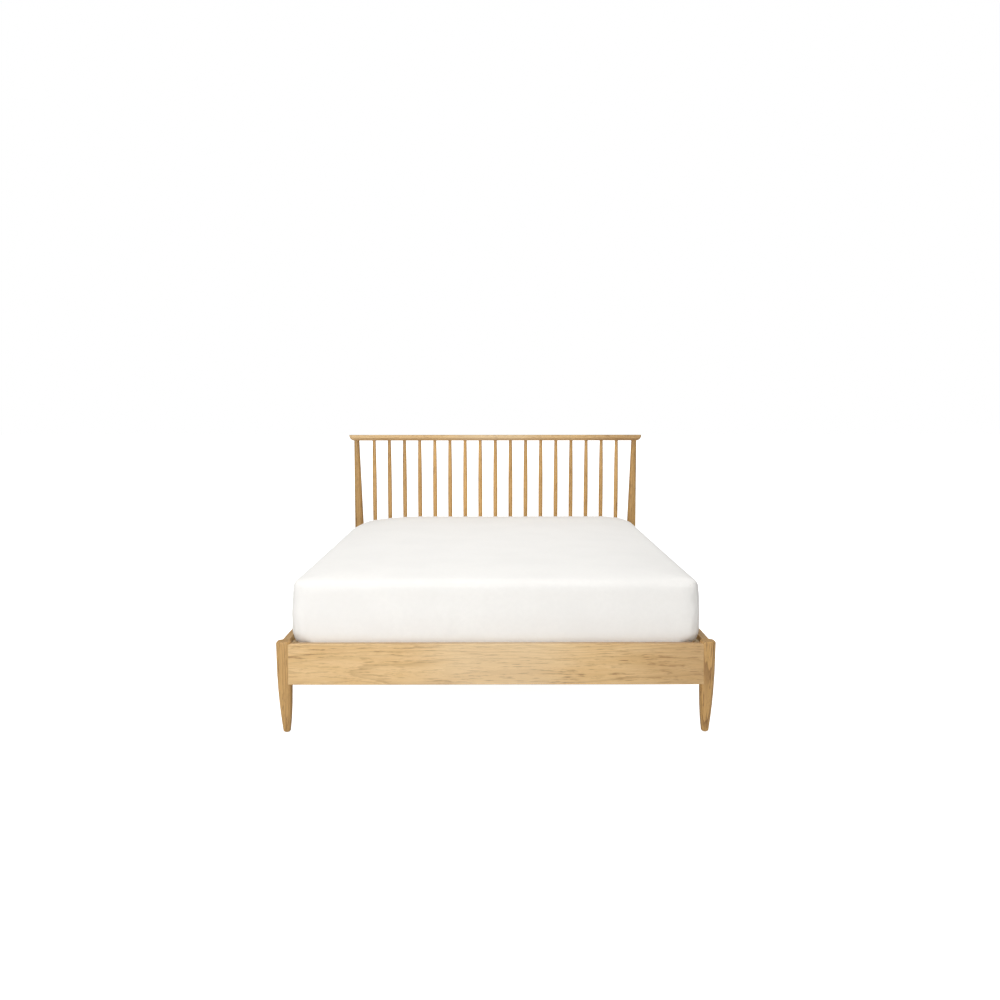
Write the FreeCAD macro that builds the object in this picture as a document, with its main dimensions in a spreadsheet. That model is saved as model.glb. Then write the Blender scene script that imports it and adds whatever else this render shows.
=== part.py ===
import FreeCAD, Part
import math
import os
import Sketcher
from FreeCAD import Rotation, Vector

# Spindle bed: a low platform bed with a turned-spindle headboard, its mattress and fitted sheet.
# Frame: origin on the floor under the middle of the bed, +X to the right, +Y to the headboard, +Z up.

doc = FreeCAD.newDocument("SpindleBed")

# Driving sizes, millimetres

SIZES = [
    # mattress and the space round it
    ("mattress_width", 1524),
    ("mattress_length", 2032),
    ("mattress_edge_height", 247),
    ("mattress_crown", 14),
    ("mattress_side_bulge", 9),
    ("mattress_top_round", 28),
    ("mattress_bottom_round", 22),
    ("mattress_corner_round", 50),
    ("side_gap", 23),
    ("end_gap", 15),
    ("sheet_thickness", 1.2),
    ("sheet_gap", 0.4),
    ("sheet_tuck", 80),
    # rails
    ("rail_top", 343),
    ("rail_height", 156),
    ("rail_thickness", 27),
    ("rail_end_round", 12.5),
    ("rail_edge_ease", 2.5),
    ("end_rail_seat", 14),
    ("side_rail_seat", 6),
    # legs and headboard posts
    ("leg_width", 56),
    ("leg_depth", 56),
    ("leg_round", 19),
    ("leg_rise", 7),
    ("leg_stand_side", 10.5),
    ("leg_stand_end", 3.5),
    ("leg_outer_taper", 20),
    ("leg_inner_taper", 10),
    ("leg_depth_taper", 12),
    ("leg_foot_section_round", 11.5),
    ("leg_top_round", 7),
    ("post_top_width", 29),
    ("post_top_depth", 30),
    ("post_top_section_round", 12),
    ("post_tenon_radius", 10),
    ("post_tenon_length", 18),
    ("glide_height", 5),
    ("glide_radius", 10),
    ("glide_edge", 1.5),
    ("glide_pin_radius", 2.5),
    ("glide_pin_length", 16),
    # headboard
    ("headboard_height", 1045.5),
    ("crest_overhang", 27),
    ("crest_height", 31.5),
    ("crest_depth", 60),
    ("crest_tip_height", 1.5),
    ("spindle_leg_gap", 60.1),
    ("spindle_end_radius", 9),
    ("spindle_middle_radius", 12.2),
    ("spindle_seat", 20),
    ("socket_clearance", 0.15),
    # slatted deck
    ("deck_recess", 18),
    ("slat_width", 84),
    ("slat_thickness", 20),
    ("slat_side_gap", 4),
    ("slat_leg_gap", 2),
    ("slat_edge_ease", 3),
    ("strap_width", 25),
    ("strap_thickness", 1.5),
    ("strap_offset", 380),
    ("ledger_width", 25),
    ("ledger_height", 30),
    ("ledger_leg_gap", 6),
    # middle support
    ("beam_width", 45),
    ("beam_height", 75),
    ("beam_edge_ease", 3),
    ("fit_gap", 0.5),
    ("hanger_thickness", 3),
    ("hanger_seat", 40),
    ("hanger_tab", 24),
    ("centre_leg_spacing", 800),
    ("centre_leg_top_radius", 23),
    ("centre_leg_foot_radius", 16),
    ("leveler_foot_radius", 16),
    ("leveler_foot_thickness", 6),
    ("leveler_foot_edge", 1.5),
    ("leveler_neck", 8),
    ("leveler_stem_radius", 4),
    ("leveler_stem_reach", 34),
    ("leveler_clearance", 0.08),
    ("leveler_end_space", 4),
    # corner fixings
    ("plate_thickness", 3),
    ("plate_height", 70),
    ("plate_rise", 12),
    ("plate_flange", 42),
    ("plate_stand_off", 14),
    ("bolt_radius", 4),
    ("bolt_grip", 35),
    ("bolt_spread", 36),
    ("bolt_end_show", 3),
    ("bolt_clearance", 0.4),
    ("nut_width", 13),
    ("nut_height", 8),
    ("nut_flange_radius", 8.5),
    ("nut_flange_thickness", 2),
    ("screw_radius", 2.25),
    ("screw_length", 25),
    ("screw_tip", 4.5),
    ("screw_head_radius", 4.4),
    ("screw_head_height", 2.6),
    ("screw_clearance", 0.1),
    ("counterbore_radius", 5),
    ("slat_counterbore", 8),
    ("ledger_counterbore", 12),
]

SPINDLES = 17
SLATS = 13
LEDGER_SCREWS = 4
LEG_LEVELS = (0.0, 0.08, 0.18, 0.3, 0.45, 0.65, 1.0)
DOME_SHARES = (0.3, 0.6, 0.85)
SWELL_STEPS = 6
OUTER_CURVE = 2.3  # powers by which a leg's faces swell out of its foot
INNER_CURVE = 4.5
SAME = 1e-3  # lengths and volumes that differ by less are equal
LONG_EDGE = 100
CUT_MARGIN = 1  # how far a cut starts outside the face that it opens

table = doc.addObject("Spreadsheet::Sheet", "Sizes")
for row, (alias, number) in enumerate(SIZES, start=1):
    table.set(f"A{row}", alias)
    table.set(f"B{row}", str(number))
    table.setAlias(f"B{row}", alias)
doc.recompute()


class Length:
    """A length in mm that keeps the formula it comes from beside its number."""

    def __init__(self, formula, number):
        self.formula = formula
        self.number = number

    def joined(self, sign, other, number):
        return Length(f"({self.formula} {sign} {as_length(other).formula})", number)

    def __add__(self, other):
        return self.joined("+", other, self.number + as_length(other).number)

    def __sub__(self, other):
        return self.joined("-", other, self.number - as_length(other).number)

    def __mul__(self, other):
        return self.joined("*", other, self.number * as_length(other).number)

    def __truediv__(self, other):
        return self.joined("/", other, self.number / as_length(other).number)

    def __radd__(self, other):
        return as_length(other) + self

    def __rsub__(self, other):
        return as_length(other) - self

    def __rmul__(self, other):
        return as_length(other) * self

    def __neg__(self):
        return as_length(0) - self


def as_length(value):
    return value if isinstance(value, Length) else Length(f"{value:.9g}", float(value))


def size(alias):
    """A driving size, read from its cell."""
    return Length(f"Sizes.{alias}", float(table.get(alias)))


def bind(target, path, length):
    target.setExpression(path, as_length(length).formula)


# Places worked out from the sizes

rail_thickness = size("rail_thickness")
rail_top = size("rail_top")
rail_bottom = rail_top - size("rail_height")
rail_inner = size("mattress_width") / 2 + size("side_gap")
rail_outer = rail_inner + rail_thickness

leg_outer = rail_outer + size("leg_stand_side")
leg_inner = leg_outer - size("leg_width")
leg_foot = size("glide_height")
leg_top = rail_top + size("leg_rise")

inner_length = size("mattress_length") + size("end_gap") * 2
crest_half_depth = size("crest_depth") / 2
overall_depth = size("leg_stand_end") + rail_thickness * 1.5 + inner_length + crest_half_depth
foot_face = size("leg_stand_end") - overall_depth / 2
foot_inner = foot_face + rail_thickness
head_inner = foot_inner + inner_length
head_plane = head_inner + rail_thickness / 2
head_face = head_inner + rail_thickness

crest_bottom = size("headboard_height") - size("crest_height")
deck_top = rail_top - size("deck_recess")
slat_bottom = deck_top - size("slat_thickness")
beam_bottom = slat_bottom - size("beam_height")
mattress_bottom = deck_top + size("sheet_thickness")
plate_bottom = rail_bottom + size("plate_rise")

FOOT, HEAD = -1, 1
LEFT, RIGHT = -1, 1
END_NAMES = {FOOT: "foot", HEAD: "head"}
SIDE_NAMES = {LEFT: "left", RIGHT: "right"}


def end_face(end):
    """Outer face of the rail at one end of the bed."""
    return foot_face if end == FOOT else head_face


def end_inner(end):
    return foot_inner if end == FOOT else head_inner


def leg_outside(end):
    return end_face(end) + size("leg_stand_end") * end


def leg_inside(end):
    return leg_outside(end) - size("leg_depth") * end


# Drawing helpers

PLANES = {"top": "XY_Plane", "front": "XZ_Plane", "side": "YZ_Plane"}
parts = []


def new_body(name):
    body = doc.addObject("PartDesign::Body", name)
    body.Label = name
    parts.append(body)
    return body


def place(body, x, y, z):
    for axis, length in zip("xyz", (x, y, z)):
        bind(body, f"Placement.Base.{axis}", length)


def arc_middle(start, end, radius, turn):
    """Middle point of the short arc from start to end; turn is 1 for a left-hand arc."""
    chord = end - start
    left = Vector(-chord.y, chord.x, 0).normalize() * turn
    rise = math.sqrt(max(radius ** 2 - (chord.Length / 2) ** 2, 0))
    return (start + end) * 0.5 + left * rise - left * radius


def fix_point(sketch, edge, position, u, v):
    """Holds a point of the sketch at u, v."""
    for kind, length in (("DistanceX", u), ("DistanceY", v)):
        number = sketch.addConstraint(
            Sketcher.Constraint(kind, -1, 1, edge, position, as_length(length).number))
        bind(sketch, f"Constraints[{number}]", length)


def add_outline(sketch, outline):
    """Closed outline. A corner is (u, v), or (u, v, radius, turn) where an arc arrives at it."""
    corners = [Vector(as_length(c[0]).number, as_length(c[1]).number, 0) for c in outline]
    first_edge = sketch.GeometryCount
    starts = []
    for index, corner in enumerate(outline):
        target = outline[(index + 1) % len(outline)]
        start = corners[index]
        end = corners[(index + 1) % len(outline)]
        if len(target) == 2:
            edge = sketch.addGeometry(Part.LineSegment(start, end))
            starts.append((1, 2))
        else:
            middle = arc_middle(start, end, target[2].number, target[3])
            edge = sketch.addGeometry(Part.Arc(start, middle, end))
            starts.append((1, 2) if target[3] > 0 else (2, 1))
            number = sketch.addConstraint(Sketcher.Constraint("Radius", edge, target[2].number))
            bind(sketch, f"Constraints[{number}]", target[2])
        fix_point(sketch, edge, starts[-1][0], corner[0], corner[1])
    count = len(outline)
    for index in range(count):
        after = (index + 1) % count
        sketch.addConstraint(Sketcher.Constraint(
            "Coincident", first_edge + index, starts[index][1], first_edge + after, starts[after][0]))


def add_circle(sketch, u, v, radius):
    centre = Vector(as_length(u).number, as_length(v).number, 0)
    edge = sketch.addGeometry(Part.Circle(centre, Vector(0, 0, 1), radius.number))
    fix_point(sketch, edge, 3, u, v)
    number = sketch.addConstraint(Sketcher.Constraint("Radius", edge, radius.number))
    bind(sketch, f"Constraints[{number}]", radius)


def add_sketch(body, plane, at, outlines=(), circles=()):
    """Sketch on one of the body's own origin planes, moved to the place given by at."""
    sketch = body.newObject("Sketcher::SketchObject", body.Name + "_sketch")
    role = PLANES[plane]
    support = next(feature for feature in body.Origin.OriginFeatures if feature.Role == role)
    sketch.AttachmentSupport = [(support, "")]
    sketch.MapMode = "FlatFace"
    bind(sketch, "AttachmentOffset.Base.z", -as_length(at) if plane == "front" else at)
    for outline in outlines:
        add_outline(sketch, outline)
    for circle in circles:
        add_circle(sketch, *circle)
    return sketch


def changed_volume(body, before, grows):
    doc.recompute()
    change = body.Shape.Volume - before
    if (change > 0) != grows or abs(change) < SAME:
        raise RuntimeError(f"{body.Label}: the last feature changed the volume by {change:.3f}")


def volume_of(body):
    return 0.0 if body.Shape.isNull() else body.Shape.Volume


def pad(body, plane, at, thickness, outlines=(), circles=()):
    """Adds material from the plane at the given place towards the plus side."""
    before = volume_of(body)
    sketch = add_sketch(body, plane, at, outlines, circles)
    feature = body.newObject("PartDesign::Pad", body.Name + "_pad")
    feature.Profile = sketch
    feature.Reversed = plane == "front"
    bind(feature, "Length", thickness)
    changed_volume(body, before, True)


def pocket(body, plane, at, depth, outlines=(), circles=()):
    """Cuts material away from the plane at the given place towards the plus side."""
    before = volume_of(body)
    sketch = add_sketch(body, plane, at, outlines, circles)
    feature = body.newObject("PartDesign::Pocket", body.Name + "_pocket")
    feature.Profile = sketch
    feature.Reversed = plane != "front"
    bind(feature, "Length", depth)
    changed_volume(body, before, False)


def revolve(body, outline):
    """Turns a profile drawn on the front plane about the body's Z axis."""
    before = volume_of(body)
    sketch = add_sketch(body, "front", 0, [outline])
    feature = body.newObject("PartDesign::Revolution", body.Name + "_turning")
    feature.Profile = sketch
    feature.ReferenceAxis = (sketch, ["V_Axis"])
    feature.Angle = 360
    changed_volume(body, before, True)


def dress(body, kind, amount_name, amount, wanted):
    """Fillet or Chamfer on the edges of the body for which wanted(edge) is true."""
    base = body.Tip
    before = volume_of(body)
    edges = [f"Edge{number}" for number, edge in enumerate(base.Shape.Edges, start=1) if wanted(edge)]
    if not edges:
        raise RuntimeError(f"{body.Label}: no edge to {kind.lower()}")
    feature = body.newObject(f"PartDesign::{kind}", f"{body.Name}_{kind.lower()}")
    feature.Base = (base, edges)
    bind(feature, amount_name, amount)
    changed_volume(body, before, False)


def fillet(body, radius, wanted):
    dress(body, "Fillet", "Radius", radius, wanted)


def chamfer(body, amount, wanted):
    dress(body, "Chamfer", "Size", amount, wanted)


def drill(body, start, direction, radius, depth):
    """A round hole along a slanting direction."""
    before = volume_of(body)
    hole = body.newObject("PartDesign::SubtractiveCylinder", body.Name + "_bore")
    bind(hole, "Radius", radius)
    bind(hole, "Height", depth)
    hole.Placement.Rotation = Rotation(Vector(0, 0, 1), direction)
    place(hole, *start)
    changed_volume(body, before, False)


def mirrored_span(side, near, far):
    """Low and high X of a span given by its distances from the middle, on one side of the bed."""
    return (near, far) if side == RIGHT else (-far, -near)


def ordered(low, high):
    return (low, high) if low.number < high.number else (high, low)


def rectangle(u0, u1, v0, v1):
    return [(u0, v0), (u1, v0), (u1, v1), (u0, v1)]


def rounded_rectangle(u0, u1, v0, v1, radius):
    return [
        (u0 + radius, v0, radius, 1),
        (u1 - radius, v0),
        (u1, v0 + radius, radius, 1),
        (u1, v1 - radius),
        (u1 - radius, v1, radius, 1),
        (u0 + radius, v1),
        (u0, v1 - radius, radius, 1),
        (u0, v0 + radius),
    ]


def group(name, shapes):
    """Separate solids of one kind that share a node."""
    feature = doc.addObject("Part::Feature", name)
    feature.Label = name
    feature.Shape = Part.makeCompound(shapes)
    parts.append(feature)


def turned(points):
    """Solid turned about Z from (radius, height) points."""
    outline = [Vector(radius, 0, height) for radius, height in points]
    face = Part.Face(Part.makePolygon(outline + outline[:1]))
    return face.revolve(Vector(0, 0, 0), Vector(0, 0, 1), 360)


def set_along(shape, start, direction):
    """Copy of a shape that stands on Z, moved to start with Z turned into direction."""
    copy = shape.copy()
    copy.Placement = FreeCAD.Placement(start, Rotation(Vector(0, 0, 1), direction))
    return copy


# Rails

def rail_profile(low, high):
    """Front outline of a rail between two ends, its two upper corners rounded."""
    rounding = size("rail_end_round")
    return [
        (low, rail_bottom),
        (high, rail_bottom),
        (high, rail_top - rounding),
        (high - rounding, rail_top, rounding, 1),
        (low + rounding, rail_top),
        (low, rail_top - rounding, rounding, 1),
    ]


def long_edges(axis):
    """Test for the long straight edges that run along one axis."""
    def wanted(edge):
        if edge.Length < LONG_EDGE or len(edge.Vertexes) != 2:
            return False
        run = edge.Vertexes[1].Point - edge.Vertexes[0].Point
        return abs(abs(getattr(run, axis)) - edge.Length) < SAME
    return wanted


def screw_hole_radius():
    return size("screw_radius") + size("screw_clearance")


end_rail_reach = leg_inner + size("end_rail_seat")


def end_rail(end):
    body = new_body("foot_rail" if end == FOOT else "head_rail")
    low, _ = ordered(end_face(end), end_inner(end))
    pad(body, "front", low, rail_thickness, [rail_profile(-end_rail_reach, end_rail_reach)])
    chamfer(body, size("rail_edge_ease"), long_edges("x"))
    circles = [(side * x, z, screw_hole_radius()) for side in (LEFT, RIGHT)
               for x, z in end_plate_screws(end)]
    circles += [(x, z, screw_hole_radius()) for x, z in hanger_screws()]
    depth = size("screw_length") - size("plate_thickness") + size("screw_clearance")
    start = end_inner(end) - depth if end == FOOT else end_inner(end)
    pocket(body, "front", start, depth, circles=circles)
    if end == HEAD:
        radius = size("spindle_end_radius") + size("socket_clearance")
        sockets = [(spindle_x(number), head_plane, radius) for number in range(SPINDLES)]
        pocket(body, "top", rail_top - size("spindle_seat"), size("spindle_seat"), circles=sockets)


def side_rail_end(end):
    """Where the side rails stop, inside the housing of the leg at that end."""
    return leg_inside(end) + size("side_rail_seat") * end


def side_rail(side):
    body = new_body(f"side_rail_{SIDE_NAMES[side]}")
    low, high = mirrored_span(side, rail_inner, rail_outer)
    pad(body, "side", low, rail_thickness, [rail_profile(side_rail_end(FOOT), side_rail_end(HEAD))])
    chamfer(body, size("rail_edge_ease"), long_edges("y"))
    plate_depth = size("screw_length") - size("plate_thickness") + size("screw_clearance")
    ledger_depth = size("screw_length") - ledger_bite() + size("screw_clearance")
    holes = [(plate_depth, [(y, z, screw_hole_radius()) for end in (FOOT, HEAD)
                            for y, z in side_plate_screws(end)]),
             (ledger_depth, [(y, ledger_middle(), screw_hole_radius()) for y in ledger_screw_places()])]
    for depth, circles in holes:
        start = low if side == RIGHT else high - depth
        pocket(body, "side", start, depth, circles=circles)


# Legs and headboard posts

def leg_section(side, end, level, height):
    """Rounded section of a leg at a height; level runs from 0 at its foot to 1 where it is full."""
    outer_share = (1 - level) ** OUTER_CURVE
    inner_share = (1 - level) ** INNER_CURVE
    outer = leg_outer - size("leg_outer_taper") * outer_share
    inner = leg_inner + size("leg_inner_taper") * inner_share
    inset = size("leg_depth_taper") * outer_share * end
    y_low, y_high = ordered(leg_outside(end) - inset, leg_inside(end) + inset)
    radius = size("leg_round") - (size("leg_round") - size("leg_foot_section_round")) * outer_share
    x_low, x_high = mirrored_span(side, inner, outer)
    return height, rounded_rectangle(x_low, x_high, y_low, y_high, radius)


def leg_sections(side, end, full_height):
    return [leg_section(side, end, level, leg_foot + (full_height - leg_foot) * level)
            for level in LEG_LEVELS]


def dome_section(side, share):
    """Section of the softly rounded top of a foot leg; share runs over a quarter turn."""
    turn = math.pi / 2 * share
    inset = size("leg_top_round") * (1 - math.cos(turn))
    height = leg_top - size("leg_top_round") * (1 - math.sin(turn))
    x_low, x_high = mirrored_span(side, leg_inner + inset, leg_outer - inset)
    y_low, y_high = ordered(leg_outside(FOOT) + inset, leg_inside(FOOT) - inset)
    return height, rounded_rectangle(x_low, x_high, y_low, y_high, size("leg_round") - inset)


def post_top_section(side):
    """Section of a headboard post where it meets the crest rail."""
    x_low, x_high = mirrored_span(side, leg_outer - size("post_top_width"), leg_outer)
    half = size("post_top_depth") / 2
    radius = size("post_top_section_round")
    return crest_bottom, rounded_rectangle(x_low, x_high, head_plane - half, head_plane + half, radius)


def loft(body, sections):
    before = volume_of(body)
    sketches = [add_sketch(body, "top", height, [outline]) for height, outline in sections]
    feature = body.newObject("PartDesign::AdditiveLoft", body.Name + "_loft")
    feature.Profile = sketches[0]
    feature.Sections = sketches[1:]
    feature.Ruled = True
    changed_volume(body, before, True)


def cut_housings(body, side, end):
    """Housings for the end rail and the side rail, and the holes for the corner bolts and the glide."""
    low, _ = ordered(end_face(end), end_inner(end))
    end_rail_outline = rail_profile(-end_rail_reach, end_rail_reach)
    pocket(body, "front", low, rail_thickness, [end_rail_outline])
    x_low, _ = mirrored_span(side, rail_inner, rail_outer)
    side_rail_outline = rail_profile(side_rail_end(FOOT), side_rail_end(HEAD))
    pocket(body, "side", x_low, rail_thickness, [side_rail_outline])
    for start, direction in corner_bolts(side, end):
        drill(body, start, direction, size("bolt_radius"), size("bolt_grip") + size("leg_round"))
    x, y = glide_place(side, end)
    depth = size("glide_pin_length")
    pocket(body, "top", leg_foot, depth, circles=[(x, y, size("glide_pin_radius"))])


def foot_leg(side):
    body = new_body(f"foot_leg_{SIDE_NAMES[side]}")
    sections = leg_sections(side, FOOT, leg_top - size("leg_top_round"))
    sections += [dome_section(side, share) for share in DOME_SHARES]
    loft(body, sections)
    cut_housings(body, side, FOOT)


def headboard_post(side):
    body = new_body(f"headboard_post_{SIDE_NAMES[side]}")
    loft(body, leg_sections(side, HEAD, rail_top) + [post_top_section(side)])
    pad(body, "top", crest_bottom, size("post_tenon_length"),
        circles=[(post_top_x(side), head_plane, size("post_tenon_radius"))])
    cut_housings(body, side, HEAD)


def post_top_x(side):
    return side * (leg_outer - size("post_top_width") / 2)


def glide_place(side, end):
    """Middle of a leg's foot."""
    outer = leg_outer - size("leg_outer_taper")
    inner = leg_inner + size("leg_inner_taper")
    return side * ((outer + inner) / 2), (leg_outside(end) + leg_inside(end)) / 2


def leg_glides():
    """Nail-on glides: a disc with a bevelled edge and a pin up into the leg."""
    radius = size("glide_radius").number
    height = size("glide_height").number
    pin = size("glide_pin_radius").number
    pin_top = height + size("glide_pin_length").number
    edge = size("glide_edge").number
    glide = turned([(0, 0), (radius - edge, 0), (radius, edge), (radius, height), (pin, height),
                    (pin, pin_top), (0, pin_top)])
    places = [glide_place(side, end) for side, end in CORNERS]
    up = Vector(0, 0, 1)
    group("leg_glides", [set_along(glide, Vector(x.number, y.number, 0), up) for x, y in places])


# Headboard

def spindle_x(number):
    """Spindles stand evenly spaced between the two posts."""
    pitch = (leg_inner - size("spindle_leg_gap")) * 2 / (SPINDLES - 1)
    return pitch * (number - (SPINDLES - 1) / 2)


def spindle(number):
    """Turned spindle: straight ends that fill their sockets and a long swell between them."""
    body = new_body(f"spindle_{number + 1:02d}")
    seat = size("spindle_seat")
    show = crest_bottom - rail_top
    end_radius = size("spindle_end_radius")
    swell = size("spindle_middle_radius") - end_radius
    outline = [(0, 0), (end_radius, 0)]
    for step in range(SWELL_STEPS + 1):
        share = step / SWELL_STEPS
        outline.append((end_radius + swell * (4 * share * (1 - share)), seat + show * share))
    outline += [(end_radius, seat * 2 + show), (0, seat * 2 + show)]
    revolve(body, outline)
    place(body, spindle_x(number), head_plane, rail_top - seat)


def crest_rail():
    """Top rail, flat above, with a boat-shaped underside that turns up to a thin tip at each end."""
    body = new_body("crest_rail")
    half = leg_outer + size("crest_overhang")
    top = size("headboard_height")
    turn_up = size("crest_height") - size("crest_tip_height")
    pad(body, "front", head_plane - crest_half_depth, size("crest_depth"), [[
        (-half, top),
        (-half, crest_bottom + turn_up),
        (-half + turn_up, crest_bottom, turn_up, 1),
        (half - turn_up, crest_bottom),
        (half, crest_bottom + turn_up, turn_up, 1),
        (half, top),
    ]])
    tip_middle = top.number - size("crest_tip_height").number / 2
    belly = (size("crest_depth") - size("post_top_depth")) / 2

    def underside(edge):
        first, last = edge.Vertexes
        return edge.CenterOfMass.z < tip_middle and abs(first.X - last.X) > SAME

    fillet(body, belly, underside)
    radius = size("spindle_end_radius") + size("socket_clearance")
    sockets = [(spindle_x(number), head_plane, radius) for number in range(SPINDLES)]
    pocket(body, "top", crest_bottom - CUT_MARGIN, size("spindle_seat") + CUT_MARGIN, circles=sockets)
    tenons = [(post_top_x(side), head_plane, size("post_tenon_radius")) for side in (LEFT, RIGHT)]
    pocket(body, "top", crest_bottom - CUT_MARGIN, size("post_tenon_length") + CUT_MARGIN, circles=tenons)


# Slatted deck

slat_start = leg_inside(FOOT) + size("slat_leg_gap")
slat_end = leg_inside(HEAD) - size("slat_leg_gap")
slat_step = (slat_end - slat_start - size("slat_width")) / (SLATS - 1)
slat_reach = rail_inner - size("slat_side_gap")
ledger_start = leg_inside(FOOT) + size("ledger_leg_gap")
ledger_end = leg_inside(HEAD) - size("ledger_leg_gap")


def slat_place(number):
    """Middle of a slat along the bed."""
    return slat_start + size("slat_width") / 2 + slat_step * number


def ledger_middle():
    return slat_bottom - size("ledger_height") / 2


def ledger_bite():
    """How much of a ledger a ledger screw passes through."""
    return size("ledger_width") - size("ledger_counterbore")


def ledger_screw_places():
    """Between the slats, evenly spread along the ledger."""
    run = ledger_end - ledger_start
    return [ledger_start + run * ((number + 0.5) / LEDGER_SCREWS) for number in range(LEDGER_SCREWS)]


def slat_screw_x():
    return rail_inner - size("ledger_width") / 2


def is_screwed(number):
    """The first and the last slat are screwed down; the straps hold the rest."""
    return number in (0, SLATS - 1)


def slat(number):
    body = new_body(f"slat_{number + 1:02d}")
    middle = slat_place(number)
    half = size("slat_width") / 2
    pad(body, "top", slat_bottom, size("slat_thickness"),
        [rectangle(-slat_reach, slat_reach, middle - half, middle + half)])
    top = deck_top.number

    def upper_long(edge):
        return long_edges("x")(edge) and abs(edge.CenterOfMass.z - top) < SAME

    fillet(body, size("slat_edge_ease"), upper_long)
    if is_screwed(number):
        places = [(side * slat_screw_x(), middle) for side in (LEFT, RIGHT)]
        pocket(body, "top", slat_bottom, size("slat_thickness"),
               circles=[(x, y, screw_hole_radius()) for x, y in places])
        pocket(body, "top", deck_top - size("slat_counterbore"), size("slat_counterbore"),
               circles=[(x, y, size("counterbore_radius")) for x, y in places])


def slat_strap(side):
    """Webbing under the slats that keeps them evenly apart."""
    body = new_body(f"slat_strap_{SIDE_NAMES[side]}")
    half = size("strap_width") / 2
    low, high = mirrored_span(side, size("strap_offset") - half, size("strap_offset") + half)
    pad(body, "top", slat_bottom - size("strap_thickness"), size("strap_thickness"),
        [rectangle(low, high, slat_start, slat_end)])


def ledger(side):
    """Batten screwed to the inside of a side rail, which carries the ends of the slats."""
    body = new_body(f"ledger_{SIDE_NAMES[side]}")
    low, high = mirrored_span(side, rail_inner - size("ledger_width"), rail_inner)
    bottom = slat_bottom - size("ledger_height")
    pad(body, "top", bottom, size("ledger_height"), [rectangle(low, high, ledger_start, ledger_end)])
    circles = [(y, ledger_middle(), screw_hole_radius()) for y in ledger_screw_places()]
    pocket(body, "side", low, size("ledger_width"), circles=circles)
    mouths = [(y, ledger_middle(), size("counterbore_radius")) for y in ledger_screw_places()]
    start = low if side == RIGHT else high - size("ledger_counterbore")
    pocket(body, "side", start, size("ledger_counterbore"), circles=mouths)
    depth = size("screw_length") - (size("slat_thickness") - size("slat_counterbore"))
    pilots = [(side * slat_screw_x(), slat_place(number), screw_hole_radius())
              for number in range(SLATS) if is_screwed(number)]
    pocket(body, "top", slat_bottom - depth - size("screw_clearance"),
           depth + size("screw_clearance"), circles=pilots)


# Middle support

beam_half = size("beam_width") / 2
hanger_half = beam_half + size("fit_gap") + size("hanger_thickness")
hanger_bottom = beam_bottom - size("hanger_thickness")


def hanger_screws():
    """Places of the screws in a hanger's tabs, seen from the front."""
    x = hanger_half + size("hanger_tab") / 2
    height = size("beam_height") + size("hanger_thickness")
    return [(side * x, hanger_bottom + height * share) for side in (LEFT, RIGHT) for share in SCREW_LEVELS]


def centre_leg_place(end):
    return size("centre_leg_spacing") / 2 * end


def centre_beam():
    body = new_body("centre_beam")
    start = foot_inner + size("hanger_thickness") + size("fit_gap")
    end = head_inner - size("hanger_thickness") - size("fit_gap")
    pad(body, "top", beam_bottom, size("beam_height"), [rectangle(-beam_half, beam_half, start, end)])
    bottom = beam_bottom.number

    def lower_long(edge):
        return long_edges("y")(edge) and abs(edge.CenterOfMass.z - bottom) < SAME

    chamfer(body, size("beam_edge_ease"), lower_long)
    bolts = [(0, centre_leg_place(end_side), size("bolt_radius")) for end_side in (FOOT, HEAD)]
    pocket(body, "top", beam_bottom, size("bolt_grip"), circles=bolts)


def beam_hanger(end):
    """Steel saddle: a back plate on the end rail and a U that holds the end of the beam."""
    body = new_body(f"beam_hanger_{END_NAMES[end]}")
    thickness = size("hanger_thickness")
    inside = beam_half + size("fit_gap")
    reach = size("hanger_seat")
    at = end_inner(end) if end == FOOT else end_inner(end) - reach
    saddle = [
        (-hanger_half, slat_bottom),
        (-hanger_half, hanger_bottom),
        (hanger_half, hanger_bottom),
        (hanger_half, slat_bottom),
        (inside, slat_bottom),
        (inside, beam_bottom),
        (-inside, beam_bottom),
        (-inside, slat_bottom),
    ]
    pad(body, "front", at, reach, [saddle])
    back = end_inner(end) if end == FOOT else end_inner(end) - thickness
    half = hanger_half + size("hanger_tab")
    pad(body, "front", back, thickness, [rectangle(-half, half, hanger_bottom, slat_bottom)])
    circles = [(x, z, screw_hole_radius()) for x, z in hanger_screws()]
    pocket(body, "front", back, thickness, circles=circles)


leveler_top = size("leveler_foot_thickness") + size("leveler_neck")


def centre_leg(number, end):
    """Turned support leg, bored for the bolt above and the leveler's stem below."""
    body = new_body(f"centre_leg_{number}")
    stem = size("leveler_stem_radius") + size("leveler_clearance")
    bore_top = leveler_top + size("leveler_stem_reach") + size("leveler_end_space")
    bolt_end = beam_bottom - size("bolt_grip")
    revolve(body, [
        (0, bore_top),
        (stem, bore_top),
        (stem, leveler_top),
        (size("centre_leg_foot_radius"), leveler_top),
        (size("centre_leg_top_radius"), beam_bottom),
        (size("bolt_radius"), beam_bottom),
        (size("bolt_radius"), bolt_end),
        (0, bolt_end),
    ])
    place(body, 0, centre_leg_place(end), 0)


def leveler(number, end):
    """Screw foot: a round pad with a bevelled rim and a stem up into the centre leg."""
    body = new_body(f"leveler_{number}")
    stem = size("leveler_stem_radius")
    foot = size("leveler_foot_radius")
    thickness = size("leveler_foot_thickness")
    rim = size("leveler_foot_edge")
    revolve(body, [
        (0, 0),
        (foot - rim, 0),
        (foot, rim),
        (foot, thickness - rim),
        (foot - rim, thickness),
        (stem, thickness),
        (stem, leveler_top + size("leveler_stem_reach")),
        (0, leveler_top + size("leveler_stem_reach")),
    ])
    place(body, 0, centre_leg_place(end), 0)


# Corner fixings

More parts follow.
